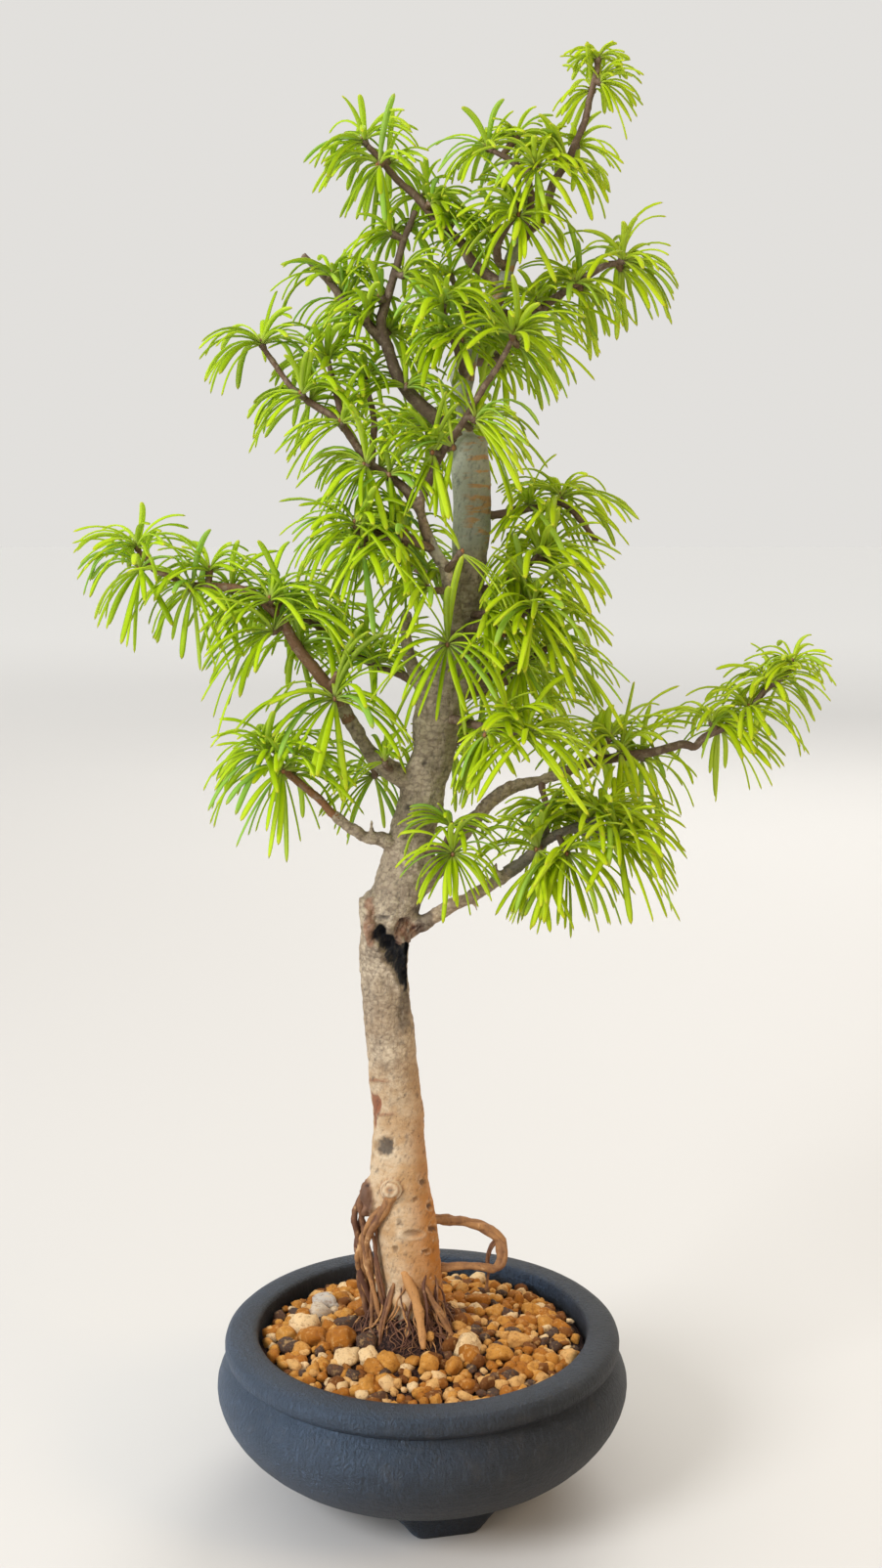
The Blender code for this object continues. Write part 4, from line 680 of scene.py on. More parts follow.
whorlLook = {
    "shoot": 2, "ringOut": 1.1, "ringDown": 1.2,  # mm
    "turn": 2.39996, "tries": 6, "nextTry": 0.7,  # radians from a needle to the next one, and to its next try
    "lean": (30, 66, 0.75),  # degrees at the shoot's tip, how many more at its foot, and how soon
    "sizes": (0.78, 1.06), "sizeByPlace": (0.80, 0.20), "widths": (0.88, 1.08),
    "flatten": 0.72, "starLift": 0.4, "steepest": 0.85,
    "clearOfWood": 0.6, "before": 1.5,  # mm
}


def needleSkin():
    material, wire, vary = newMaterial("needleSkin", Specular_IOR_Level=0.22)
    tone = mark(wire, "tone")
    reach = mark(wire, "reach")
    place = objectPlace(wire)
    mottle = wire.noise(place, 420, 3)
    shade = tone * 0.7 + wire.noise(place, 26, 2) * 0.9 - 0.28
    colour = wire.layered(needleLook["deep"], [
        (shade.between(0.0, 0.55), needleLook["fresh"]),
        (shade.between(0.50, 0.95) * 0.85, needleLook["lime"]),
        (tone.between(0.88, 0.93) * 0.7, needleLook["bluish"]),
        # painted warm light: needles grow golden towards the crown's right side
        (wire.axis(place, 0).between(*needleLook["warmLitAcross"]) * 0.35, needleLook["warmLitGold"]),
        (reach.between(0.20, 0.0) * 0.8, needleLook["pale"]),
        (reach.between(0.90, 1.0) * 0.5, needleLook["yellow"]),
        (mark(wire, "under") * 0.5, needleLook["pale"]),
        (mottle.between(0.42, 0.30) * 0.2, needleLook["deep"])])
    vary("Base Color", colour)
    vary("Roughness", mottle * 0.10 + 0.42)
    vary("Normal", wire.bump(mottle, 0.05, needleLook["bumpHeight"]))
    nodes = material.node_tree.nodes
    skin = Wire(wire.tree, nodes["Principled BSDF"].outputs[0])
    glow = wire.node("BsdfTranslucent", {}, {"Color": colour})
    both = wire.node("MixShader", {}, {0: needleLook["seeThrough"], 1: skin, 2: glow})
    wire.tree.links.new(both.socket, nodes["Material Output"].inputs["Surface"])
    return material


woodPoints = []  # points along all the wood with its radius, which needles keep clear of
seenPoints = []  # points of wood seen from the front: depth, half the gap and place on the plan


def limbLine(stations, step=2.0):
    points = [spot(*station[:3]) for station in stations]
    return smoothLine(points, [station[3] * millimetre for station in stations], step * millimetre)


def stemLines(stem):  # smooth lines of a stem's twigs, the first from inside the wood
    start, end = stem["radii"]
    lines = []
    for index, twig in enumerate(stem["twigs"]):
        points = [spot(*point) for point in twig]
        wide = start if index == 0 else (start + end) / 2
        radii = [(wide + (end - wide) * number / (len(points) - 1)) * millimetre
                 for number in range(len(points))]
        if index == 0:
            points.insert(0, spot(*stem["root"]))
            radii.insert(0, start * twigLook["foot"] * millimetre)
        radii = [radius * twigLook["slim"] for radius in radii]
        lines.append(smoothLine(points, radii, twigLook["step"] * millimetre))
    return lines


def nearestOn(lines, target):
    return min((place for line in lines for place, _ in line), key=lambda place: (place - target).length)


def planPlace(place):  # where a point is seen on the plan, the other way round from spot
    away = place - potAxis - eyePoint
    seen = eyePoint + away * (-eyePoint.y / away.y)
    return seen.x, seen.z


def treeOf(places):
    tree = KDTree(len(places))
    for index, place in enumerate(places):
        tree.insert(place, index)
    tree.balance()
    return tree


# Stretches of wood that needles leave clear from the front: the lowest and highest place on the plan
# and half the gap, in mm
seenWood = {
    "trunk": [(90, 262, 11.5), (262, 300, 6.5), (300, 322, 10), (322, 350, 7.5), (376, 404, 4.5),
              (410, 458, 7.5)],
    "front_riser": [(372, 430, 3.4)], "left_branch": [(318, 347, 4.0)], "right_branch": [(285, 316, 3.6)],
    "low_right_branch": [(258, 279, 4.0)], "stem_left_upright": [(466, 548, 3.8)],
    "stem_left_high": [(436, 488, 2.8)], "stem_riser_right": [(447, 495, 3.2)],
    "stem_low_left": [(296, 320, 3.4)], "stem_left_long": [(345, 388, 3.6)],
    "stem_low_right": [(275, 292, 3.8)], "stem_top_leader": [(568, 600, 3.0)],
    "stem_top_left": [(545, 572, 2.4)], "stem_right_long": [(326, 331, 3.0)],
}


def rememberWood(name, lines):
    for line in lines:
        woodPoints.extend(line)
    for low, high, gap in seenWood.get(name, []):
        for place, _ in lines[0]:
            x, z = planPlace(place)
            if low * millimetre < z < high * millimetre:
                seenPoints.append((place.y, gap * millimetre, Vector((x, z, 0))))


def needlePath(root, heading, length, sway, droop):  # an arch that bends most where it lies level
    flat = Vector((heading.x, heading.y, 0))
    flat = flat.normalized() if flat.length > 0.05 else Vector((1, 0, 0))
    across = flat.cross(Vector((0, 0, 1)))
    lift = math.asin(max(-1.0, min(1.0, heading.z)))
    droop *= (1 - 0.5 * max(0.0, -flat.y) ** 2) * (1 + 0.6 * heading.z)
    place = root.copy()
    path = []
    before = 0
    for t in needleLook["stops"]:
        lift -= droop * (0.15 + 0.85 * math.cos(lift)) * (t - before)
        along = (flat + across * sway * t).normalized() * math.cos(lift) + Vector((0, 0, math.sin(lift)))
        place = place + along * length * (t - before)
        path.append((t, place, along))
        before = t
    return path, across


def hitsWood(path, free):  # a spray that stands before the wood is free to hide it
    for _, place, _ in path[3:]:
        _, index, distance = clearTree.find(place)
        if distance < woodPoints[index][1] + whorlLook["clearOfWood"] * millimetre:
            return True
        _, index, distance = seenTree.find(Vector((*planPlace(place), 0)))
        depth, gap, _ = seenPoints[index]
        if not free and distance < gap and place.y < depth - whorlLook["before"] * millimetre:
            return True
    return False


def needleParts():  # the faces and marks that every needle has
    section = needleLook["section"]
    count, rings = len(section), len(needleLook["widths"])
    start = (rings - 1) * count
    tip = rings * count
    faces = [tuple(range(count)), *bands(rings, count, inward=True)]
    faces += [(start + (number + 1) % count, start + number, tip) for number in range(count)]
    reach = [t for t in needleLook["stops"][:rings] for _ in section] + [1.0]
    under = [float(below) for _, _, below in section] * rings + [0.5]
    return faces, {"reach": reach, "under": under}


needleFaces, needleMarks = needleParts()


def addNeedle(pile, path, across, width, tone, roll):
    corners = []
    for (t, place, heading), share in zip(path, needleLook["widths"]):
        side = across - heading * across.dot(heading)
        side.normalize()
        side.rotate(Matrix.Rotation(roll * (0.4 + t), 3, heading))
        up = side.cross(heading)
        for sideShare, upShare, _ in needleLook["section"]:
            corners.append(place + side * width / 2 * share * sideShare
                           + up * needleLook["thickness"] * millimetre * upShare)
    corners.append(path[-1][1])
    pile.add(corners, needleFaces, 0, tone=tone, **needleMarks)


def addWhorl(pile, whorl, lines, draw, crowd, free):
    look = whorlLook
    across, up, depth, facing, length, number = whorl
    centre = spot(across, up, depth)
    star = facing[1] <= -9 and facing[2] >= -3
    facing = Vector(facing).normalized()
    base = nearestOn(lines, centre)
    if (centre - base).length < look["shoot"] * millimetre:
        centre = base + facing * look["shoot"] * millimetre
    addShoot(pile, base, centre, facing, draw)
    side = facing.orthogonal().normalized()
    other = facing.cross(side)
    first, further, curve = look["lean"]
    inner, outer = look["sizeByPlace"]
    count = round(number * crowd)
    for index in range(count):
        share = (index + 0.5) / count
        for attempt in range(look["tries"]):
            turn = index * look["turn"] + draw.uniform(-0.3, 0.3) + attempt * look["nextTry"]
            radial = side * math.cos(turn) + other * math.sin(turn)
            lean = math.radians(first + further * share ** curve) + draw.uniform(-0.16, 0.16)
            size = length * millimetre * draw.uniform(*look["sizes"]) * (inner + outer * share)
            root = (centre + radial * look["ringOut"] * millimetre
                    + facing * (1 - share) * look["ringDown"] * millimetre)
            heading = facing * math.cos(lean) + radial * math.sin(lean)
            if not star:  # sprays spread more across than towards the front
                heading.y *= look["flatten"]
            lift = needleLook["lift"] * (look["starLift"] if star else 1)
            heading.z = min(heading.z + lift, look["steepest"])
            heading.normalize()
            path, flat = needlePath(root, heading, size, draw.uniform(-0.5, 0.5),
                                    draw.uniform(*needleLook["droop"]))
            if not hitsWood(path, free):
                width = (needleLook["slimmest"] + needleLook["widening"] * length) * millimetre
                addNeedle(pile, path, flat, width * draw.uniform(*look["widths"]), draw.random(),
                          draw.uniform(-0.5, 0.5))
                break


shootLook = {"step": 0.6, "ring": 0.12, "radius": 1.15, "swell": 0.45, "end": (0.9, 1.35),
             "bud": (0.8, 0.8, 1.1), "budAt": 1.3, "tone": 0.45}


def addShoot(pile, base, centre, facing, draw):  # ringed short shoot with a bud among its needles
    look = shootLook
    count = max(4, round((centre - base).length / (look["step"] * millimetre)))
    line = []
    for index in range(count + 1):
        share = index / count
        ring = look["ring"] * millimetre * (index % 2)
        line.append((base.lerp(centre, share), (look["radius"] + look["swell"] * share) * millimetre + ring))
    further, radius = look["end"]
    line.append((centre + facing * further * millimetre, radius * millimetre))
    corners, faces = tube(line, 9)
    pile.add(corners, faces, 1, tone=look["tone"] + draw.uniform(-0.15, 0.25), reach=0.5)
    budSize = Vector(look["bud"]) * millimetre
    corners, faces = lump(centre + facing * look["budAt"] * millimetre, budSize, 7, 5)
    pile.add(corners, faces, 1, tone=1.0, reach=0.5)


def twigKnots(place):
    return (noise.noise(place * 420) * 0.28 + noise.noise(place * 1300) * 0.14) * millimetre


def growStem(name, stem, lines, draw, materials):
    pile = MeshPile("tone", "reach", "under")
    barkTone = twigLook["tones"].get(name, twigLook["usualTone"])
    for line in lines:
        corners, faces = tube(line, twigLook["sides"], twigKnots)
        pile.add(corners, faces, 1, tone=barkTone)
    crowd = needleLook["crowd"] * needleLook["crowded"].get(name, 1)
    for whorl in stem["whorls"]:
        addWhorl(pile, whorl, lines, draw, crowd, name in needleLook["beforeWood"])
    piece = pile.make(name + "_leaves", materials)
    piece.shadow_terminator_geometry_offset = needleLook["shadeLift"]
    piece.shadow_terminator_shading_offset = needleLook["shadeTurn"]
    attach(piece, "root")
    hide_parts(name)
    return len(pile.faces)


stemMaterials = [needleSkin(), twigBark()]
allLines = {name: stemLines(stem) for name, stem in leafyStems.items()}
for name, places in [*oldWood.items(), *planRoots.items()]:
    rememberWood(name, [limbLine(places)])
for name, lines in allLines.items():
    rememberWood(name, lines)
clearTree = treeOf([place for place, _ in woodPoints])
seenTree = treeOf([plan for _, _, plan in seenPoints])
leafFaces = 0
for seed, (name, stem) in enumerate(leafyStems.items()):
    leafFaces += growStem(name, stem, allLines[name], random.Random(seed + 40), stemMaterials)
print("leafy stems are grown:", len(leafyStems), "stems,", leafFaces, "faces")


# Trunk and old wood. Places, sizes and heights are in mm on the plan, and an oval has its middle and
# half size.
trunkLook = {
    "cell": 0.85, "softening": 5,
    "relief": {"lumps": 0.55, "knobs": 0.30, "oldKnobs": 0.35, "ridges": 0.45, "wrinkles": 0.20,
               "grooves": 0.35, "rings": 0.5, "peelScar": 0.35, "scarLip": 0.55, "scarHollow": 0.7,
               "pits": 0.35},
    "lowHeight": (0.235, 0.185),  # m, where the bark grows smoother on the way down
    "woundDepth": 6.5,
    "woundHollows": [((-17.9, 248.6), (3.6, 3.6)), ((-14.4, 244.4), (4.6, 4.4)), ((-10.9, 239.4), (5.2, 4.8)),
                     ((-5.6, 240.1), (5.8, 4.8)), ((-7.6, 234.4), (4.9, 5.2)), ((-7.8, 229.0), (3.2, 5.4))],
    "torn": ((-6.0, 248.6), (7.0, 6.4)), "darkBelowCollar": ((0.2, 257.5), (4.6, 10.0)),
    "stain": ((-7.6, 214.5), (3.4, 12.5)), "redRim": ((-22.0, 253.0), (2.1, 9.0)),
    "peelScar": ((-20.5, 171.0), (2.6, 8.0)), "callus": ((-26.5, 130.0), (5.5, 12.0)),
    "rings": [(183.5, -16.0), (168.5, -13.0)],  # height, and how far right the mark runs
    "scars": [  # an oval, and how dark
        ((-16.3, 153.9), (4.4, 4.9), 0.78), ((-5.2, 114), (5.2, 2.4), 0.35), ((3.5, 127), (1.8, 2.3), 0.75),
        ((0.5, 137.5), (1.7, 1.5), 0.6), ((4.6, 116.5), (2.2, 1.6), 0.7), ((-9.5, 118.5), (1.6, 1.2), 0.5),
        ((1.5, 106), (1.9, 1.4), 0.55), ((-12, 107), (1.5, 1.8), 0.45), ((-3, 130), (1.2, 1), 0.4),
        ((-16.3, 255.9), (3.9, 1.5), 0.6), ((-6, 303), (2.2, 1.5), 0.6), ((1, 322), (1.6, 1.3), 0.6),
        ((-9, 214), (1, 2.6), 0.3)],
    "knot": (-13.5, 134.3), "knotReach": 5.2,
    "stubTops": [(-6.5, 387), (33.5, 379)],
    "dampFoot": (0.086, 0.078),  # m
    "slimmed": {"right_branch": 0.80, "low_right_branch": 0.86, "front_riser": 0.66, "left_branch": 0.9,
                "riser_fork_left": 0.8, "riser_fork_right": 0.8},
    "spurs": [[(21, 266, -8, 1.9), (22.5, 262, -9, 1.2), (23.5, 258, -9.5, 0.5)],
              [(30, 272, -9, 1.8), (31, 276, -10, 1.2), (31.5, 279.5, -10, 0.7)],
              [(-20, 290, -9, 1.7), (-21, 295, -11, 1.2), (-21, 298, -12, 0.7)]],
}


def trunkMesh():
    pile = MeshPile()
    for name, places in oldWood.items():
        slim = trunkLook["slimmed"].get(name, 1)
        line = [(place, radius * slim) for place, radius in limbLine(places)]
        pile.add(*tube(line, 28 if name in ("trunk", "root_ball") else 14))
    for places in trunkLook["spurs"]:
        pile.add(*tube(limbLine(places), 10))
    for centre, halfSize in swellings.values():
        pile.add(*lump(spot(*centre), Vector(halfSize) * millimetre, 20, 12))
    rough = pile.make("trunkRough", [])
    remesh = rough.modifiers.new("Join", "REMESH")
    remesh.mode = "VOXEL"
    remesh.voxel_size = trunkLook["cell"] * millimetre
    soften = rough.modifiers.new("Soften", "SMOOTH")
    soften.iterations = trunkLook["softening"]
    soften.factor = 0.5
    graph = bpy.context.evaluated_depsgraph_get()
    mesh = bpy.data.meshes.new_from_object(rough.evaluated_get(graph))
    bpy.data.objects.remove(rough)
    return mesh


def smoothShare(value, low, high):  # 0 at low, 1 at high, smooth between
    share = max(0.0, min(1.0, (value - low) / (high - low)))
    return share * share * (3 - 2 * share)


def ovalShare(x, z, middle, halfSize):  # 0 at the middle of an oval, 1 at its edge
    return math.hypot((x - middle[0]) / halfSize[0], (z - middle[1]) / halfSize[1])


def woundEdge(x, z):  # mm from the wound's edge, below 0 inside it
    return min((ovalShare(x, z, middle, halfSize) - 1) * min(halfSize)
               for middle, halfSize in trunkLook["woundHollows"])


def carveBark(mesh):  # bark relief, scars and the wound's hollow, with the marks that the bark reads
    look, relief = trunkLook, trunkLook["relief"]
    marks = {"peel": [], "dark": [], "pale": []}
    moved = []
    for vertex in mesh.vertices:
        place, normal = vertex.co, vertex.normal
        x, z = (value / millimetre for value in planPlace(place))
        front = smoothShare(normal.y, -0.05, -0.35)
        low = smoothShare(place.z, *look["lowHeight"])
        young = smoothShare(place.z, *barkLook["youngHeight"])
        young *= smoothShare(place.x, *barkLook["youngAcross"])
        old = (1 - low) * (1 - young)
        long = Vector((place.x, place.y, place.z * 0.35))
        ridges = noise.fractal(long * 260, 1.0, 2.0, 4)
        lumps = noise.noise(place * 85)
        knobs = noise.noise(place * 190)
        groove = smoothShare(abs(noise.noise(long * 210 + Vector((3, 1, 8)))), 0.09, 0.0)
        wrinkle = noise.noise(Vector((place.x * 60, place.y * 60, place.z * 560)))
        push = lumps * relief["lumps"] + knobs * (relief["knobs"] + relief["oldKnobs"] * old)
        push += ridges * relief["ridges"] * old + wrinkle * relief["wrinkles"] * (1 - young)
        push -= groove * relief["grooves"] * old
        peel = dark = pale = 0.0
        for ringHeight, reach in look["rings"]:
            wobble = noise.noise(Vector((x * 0.12, ringHeight, 0))) * 1.2
            ring = smoothShare(abs(z - ringHeight - wobble), 0.9, 0.2) * front
            ring *= smoothShare(x, reach + 4, reach - 2)
            push += ring * relief["rings"]
            peel = max(peel, ring * 0.75)
        peeled = smoothShare(ovalShare(x, z, *look["peelScar"]) + knobs * 0.5, 1.15, 0.8) * front
        peel = max(peel, peeled)
        push -= peeled * relief["peelScar"]
        for middle, halfSize, shade in look["scars"]:
            away = ovalShare(x, z, middle, halfSize)
            if away < 1.8:
                away += knobs * 0.45
                inside = smoothShare(away + noise.noise(place * 700) * 0.35, 1.0, 0.55) * front
                lip = smoothShare(abs(away - 1.08), 0.25, 0.0) * front
                push += lip * relief["scarLip"] - inside * relief["scarHollow"]
                dark = max(dark, inside * shade)
                pale = max(pale, lip * 0.3)
        away = math.dist((x, z), look["knot"])
        if away < look["knotReach"] and front > 0:
            rings = math.cos(away * 3.1)
            push += rings * 0.32 + smoothShare(away, look["knotReach"], 2.4) * 1.6
            pale = max(pale, 0.25 + rings * 0.25)
            dark = max(dark, smoothShare(away, 1.1, 0.5) * 0.7)
            peel = max(peel, smoothShare(rings, -0.1, -0.9) * 0.6)
        rag = knobs + lumps * 0.5 + noise.noise(place * 330) * 0.9
        edge = woundEdge(x, z) + rag * 1.2
        hollow = smoothShare(edge, 0.3, -3.0) * front
        lip = smoothShare(abs(edge - 1.2), 1.5, 0.0) * front
        splinter = noise.noise(Vector((x * 0.55, z * 0.16, 4)))
        fibre = noise.noise(Vector((x * 1.1 - z * 0.5, z * 0.22 + x * 0.2, 9)))
        push += lip * (0.9 + 0.7 * splinter + 0.9 * rag)
        sunk = hollow * look["woundDepth"] * (1 + 0.35 * splinter)
        # the wound's hollow is painted near black, as the shade inside it
        depth = smoothShare(hollow + fibre * 0.3, 0.02, 0.30)
        dark = max(dark, depth * (0.98 - 0.35 * max(0.0, fibre)))
        torn = smoothShare(ovalShare(x, z, *look["torn"]) + knobs * 0.6, 1.1, 0.7) * front
        push += torn * (fibre * 2.4 + rag * 0.9 - 1.4)
        peel = max(peel, torn * (0.55 - 0.5 * fibre) * (1 - depth))
        dark = max(dark, torn * smoothShare(fibre + rag * 0.4, 0.0, -0.45) * 0.75)
        pale = max(pale, torn * smoothShare(fibre, 0.28, 0.5) * 0.6 * (1 - depth))
        # a darker oval below the branch collar
        darkBelowCollar = smoothShare(ovalShare(x, z, *look["darkBelowCollar"]) + knobs * 0.8, 1.1, 0.6)
        dark = max(dark, darkBelowCollar * (0.55 + 0.35 * max(0.0, rag)))
        stain = smoothShare(ovalShare(x, z, *look["stain"]) + rag * 0.5, 1.2, 0.5) * front
        dark = max(dark, stain * 0.42)
        redRim = smoothShare(ovalShare(x, z, *look["redRim"]) + rag * 0.5, 1.2, 0.7) * front
        peel = max(peel, redRim * 0.6)
        push += redRim * (0.8 + rag * 0.6)
        dark = max(dark, lip * smoothShare(splinter + rag * 0.4, 0.1, 0.6) * 0.45)
        callus = smoothShare(ovalShare(x, z, *look["callus"]), 1.1, 0.7)
        peel = max(peel, callus * 0.8)
        dark = max(dark, callus * (0.35 + 0.5 * max(0.0, lumps + knobs)))
        push += callus * (ridges * 1.9 + knobs * 1.8 - groove * 1.2)
        dark = max(dark, callus * smoothShare(ridges, 0.1, -0.3) * 0.8)
        dark = max(dark, smoothShare(place.z, *look["dampFoot"]) * 0.55)
        if low > 0.5 and noise.cell(place * 60) > 0.35:
            push += smoothShare(noise.voronoi(place * 150)[0][0], 0.30, 0.12) * relief["pits"]
        for stub in look["stubTops"]:
            pale = max(pale, smoothShare(math.dist((x, z), stub), 4.2, 2.6) * 0.5)
        for key, value in (("peel", peel), ("dark", dark), ("pale", pale)):
            marks[key].append(value)
        moved.append(place + normal * push * millimetre + Vector((0, 1, 0)) * sunk * millimetre)
    for vertex, place in zip(mesh.vertices, moved):
        vertex.co = place
    for key, values in marks.items():
        mesh.attributes.new(key, "FLOAT", "POINT").data.foreach_set("value", values)


def growTrunk():
    mesh = trunkMesh()
    carveBark(mesh)
    mesh.materials.clear()
    mesh.materials.append(trunkBark())
    mesh.polygons.foreach_set("use_smooth", [True] * len(mesh.polygons))
    trunk = bpy.data.objects.new("old_trunk", mesh)
    bpy.context.scene.collection.objects.link(trunk)
    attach(trunk, "root")
    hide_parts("trunk")
    print("trunk is grown:", len(mesh.polygons), "faces")


growTrunk()


# Roots that stand free of the trunk, each a twist of strands: how many, how far apart they lie, how thick,
# their tone from dark to tan, and the root's line in mm as the old wood has it
freeRoots = {
    "aerial_root": (3, 0.9, 0.60, 0.40, planRoots["aerial_root"]),
    "thin_root": (2, 1.0, 0.62, 0.32, planRoots["thin_root"]),
    "loop_root": (3, 0.8, 0.72, 0.62, planRoots["loop_root"]),
    "hanging_root": (2, 0.9, 0.60, 0.55, planRoots["hanging_root"]),
    "tan_root": (2, 0.5, 0.95, 0.98, [
        (-8, 97, -12, 2.2), (-4, 86, -15, 2.1), (-1.5, 76, -19, 1.9), (-0.3, 68, -22.5, 1.7),
        (0.4, 60.5, -26, 1.2)]),
    "front_root_left": (2, 0.9, 0.75, 0.50, [
        (-12, 92, -10.5, 1.3), (-15, 82, -13, 1.2), (-17.5, 72, -16, 1.0), (-19, 62, -20, 0.7)]),
    "front_root_right": (2, 0.9, 0.75, 0.45, [
        (-1, 93, -10, 1.7), (4, 84, -13.5, 1.5), (9, 75, -14.5, 1.2), (13.5, 66, -15, 0.9)]),
    "callus_root": (3, 1.1, 0.50, 0.14, [
        (-24, 134, -2, 2.6), (-27, 124, -1, 3.0), (-27, 113, 0, 2.6), (-26, 101, 1, 2.4), (-24, 87, 2, 2.6),
        (-22, 74, 3, 2.2)]),
    "side_root": (2, 1.0, 0.50, 0.36, [
        (-25, 117, -6, 1.8), (-24, 105, -8, 1.9), (-22, 93, -9, 1.8), (-21, 80, -10, 1.6),
        (-22, 70, -11, 1.2)]),
    "knot_root": (2, 0.6, 0.80, 0.62, [
        (-12.5, 133, -12.5, 2.6), (-15.5, 126.5, -12, 2.0), (-19.5, 119.5, -10, 1.7), (-23.5, 112.5, -8, 1.6),
        (-24.5, 103, -8, 1.5), (-22, 92, -9.5, 1.4), (-19, 76, -12, 1.2)]),
}
# Fine roots in the soil round the trunk's foot: their number and the range of directions in radians, then
# reaches, thickness and heights in mm
flareLook = {"count": 34, "from": (-3.5, -0.45), "foot": 11.5, "tip": (17, 31), "thick": (0.28, 0.80),
             "top": 93, "topSpread": (-9, 8), "slope": 1.55, "tipDown": 3.5, "steps": 7,
             "tones": (0.1, 0.25, 0.4, 0.6, 0.85)}
hairLook = {"count": 44, "from": (-3.3, 0.5), "foot": (12, 17), "thick": (0.2, 0.5), "stride": (0.6, 2.8),
            "rise": (0.2, 1.8), "tipDown": 1.0, "steps": 7, "tones": (0.0, 0.45)}


def rootWrinkle(place):
    return (noise.noise(place * 330) * 0.34 + noise.noise(place * 1100) * 0.16) * millimetre


def twistRoot(pile, look, draw):
    count, spread, share, tone, places = look
    line = limbLine(places, 1.4)
    start = draw.uniform(0, 6)
    for number in range(count):
        strand = []
        for index, (place, radius) in enumerate(line):
            turn = start + number * math.tau / count + index * 0.16
            aside = Vector((math.cos(turn), math.sin(turn) * 0.8, math.sin(turn) * 0.5))
            wander = 1 + 0.4 * noise.noise(place * 140 + Vector((number * 9, 0, 0)))
            strand.append((place + aside * radius * (spread - 0.35) * wander, radius * share * wander))
        corners, faces = tube(strand, 9, rootWrinkle)
        pile.add(corners, faces, 0, tone=tone + draw.uniform(-0.22, 0.18))


def potPlace(x, y, height):  # a place given in mm from the pot's axis and the ground
    return Vector((x, y, height)) * millimetre + potAxis


def aroundTrunk(reach, turn):  # mm right and back from the pot's axis, at a reach from the root ball
    middleX, middleY = soilLook["ballCentre"]
    return middleX + reach * math.cos(turn), middleY + reach * math.sin(turn)


def flareRoots(pile, draw):  # roots that run from the trunk's foot over the dark lump into the soil
    look = flareLook
    last = look["steps"] - 1
    for _ in range(look["count"]):
        turn = draw.uniform(*look["from"])
        thick = draw.uniform(*look["thick"])
        tip = draw.uniform(*look["tip"])
        begin = look["top"] + draw.uniform(*look["topSpread"])
        points, radii = [], []
        for step in range(look["steps"]):
            share = step / last
            x, y = aroundTrunk(look["foot"] + (tip - look["foot"]) * share ** 1.25, turn)
            ground = soilHeight(x, y) + 0.6
            height = max(ground, begin + (ground - begin) * min(1.0, share * look["slope"]))
            points.append(potPlace(x, y, height - (look["tipDown"] if step == last else 0)))
            radii.append(thick * (1.15 - 0.75 * share) * millimetre)
            turn += draw.uniform(-0.2, 0.2)
        corners, faces = tube(smoothLine(points, radii, 1.3 * millimetre), 8, rootWrinkle)
        pile.add(corners, faces, 0, tone=draw.choice(look["tones"]))


def hairRoots(pile, draw):  # fine roots that wander over the dark lump below the trunk
    look = hairLook
    for _ in range(look["count"]):
        turn = draw.uniform(*look["from"])
        reach = draw.uniform(*look["foot"])
        thick = draw.uniform(*look["thick"])
        points, radii = [], []
        for step in range(look["steps"]):
            x, y = aroundTrunk(reach, turn)
            rise = draw.uniform(*look["rise"]) if step < look["steps"] - 1 else -look["tipDown"]
            points.append(potPlace(x, y, soilHeight(x, y) + rise))
            radii.append(thick * (1 - step * 0.11) * millimetre)
            reach += draw.uniform(*look["stride"])
            turn += draw.uniform(-0.25, 0.25)
        corners, faces = tube(smoothLine(points, radii, 1.2 * millimetre), 6)
        pile.add(corners, faces, 0, tone=draw.uniform(*look["tones"]))


def growRoots():
    draw = random.Random(23)
    pile = MeshPile("tone")
    for look in freeRoots.values():
        twistRoot(pile, look, draw)
    flareRoots(pile, draw)
    hairRoots(pile, draw)
    roots = pile.make("surface_roots", [rootBark()])
    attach(roots, "root")
    print("roots are grown:", len(pile.faces), "faces")


# Pot
potLook = {
    "steps": 144, "cell": 2.6, "sharpAngle": 48,
    "profile": [  # radius and height in mm from the inner lip over the belly to the drain hole
        (72.0, 69.6), (72.2, 71.2), (73.0, 72.1), (74.6, 72.5), (78.2, 72.5), (81.6, 72.2), (84.0, 71.4),
        (85.7, 69.8), (86.4, 67.6), (86.4, 65.4), (85.9, 63.9), (84.9, 63.0), (84.0, 62.5), (83.6, 61.8),
        (84.0, 60.9), (85.3, 59.4), (87.2, 56.9), (88.8, 53.8), (89.8, 50.6), (90.0, 48.0), (89.7, 44.8),
        (88.7, 41.0), (87.0, 37.0), (84.6, 33.0), (81.5, 29.0), (77.6, 25.0), (73.0, 21.2), (67.8, 17.8),
        (62.6, 14.8), (58.0, 12.4), (54.0, 10.9), (50.0, 10.5), (30.0, 10.5), (12.2, 10.5), (11.0, 11.0),
        (11.0, 16.0)],
    "inside": [(46.0, 16.0), (56.0, 18.6), (64.2, 26.0), (69.4, 36.0), (71.7, 46.0), (72.0, 56.0)],
    "unevenFrom": 60,  # mm from the axis
    "clay": (0.007, 0.008, 0.010), "worn": (0.015, 0.016, 0.019), "dust": (0.080, 0.074, 0.066),
    "streak": (0.045, 0.050, 0.060), "earth": (0.040, 0.034, 0.030), "bumpHeight": 0.0014,
}
footLook = {
    "turns": (-77.3, 42.7, 162.7), "halfSize": (5.5, 20.5), "corner": 4, "reach": 47, "cornerSteps": 6,
    "levels": (  # share of the size, and mm above the ground
        (0.58, 0.0), (0.66, 0.5), (0.73, 1.7), (0.81, 3.7), (0.90, 6.2), (1.02, 9.0), (1.20, 12.5)),
}


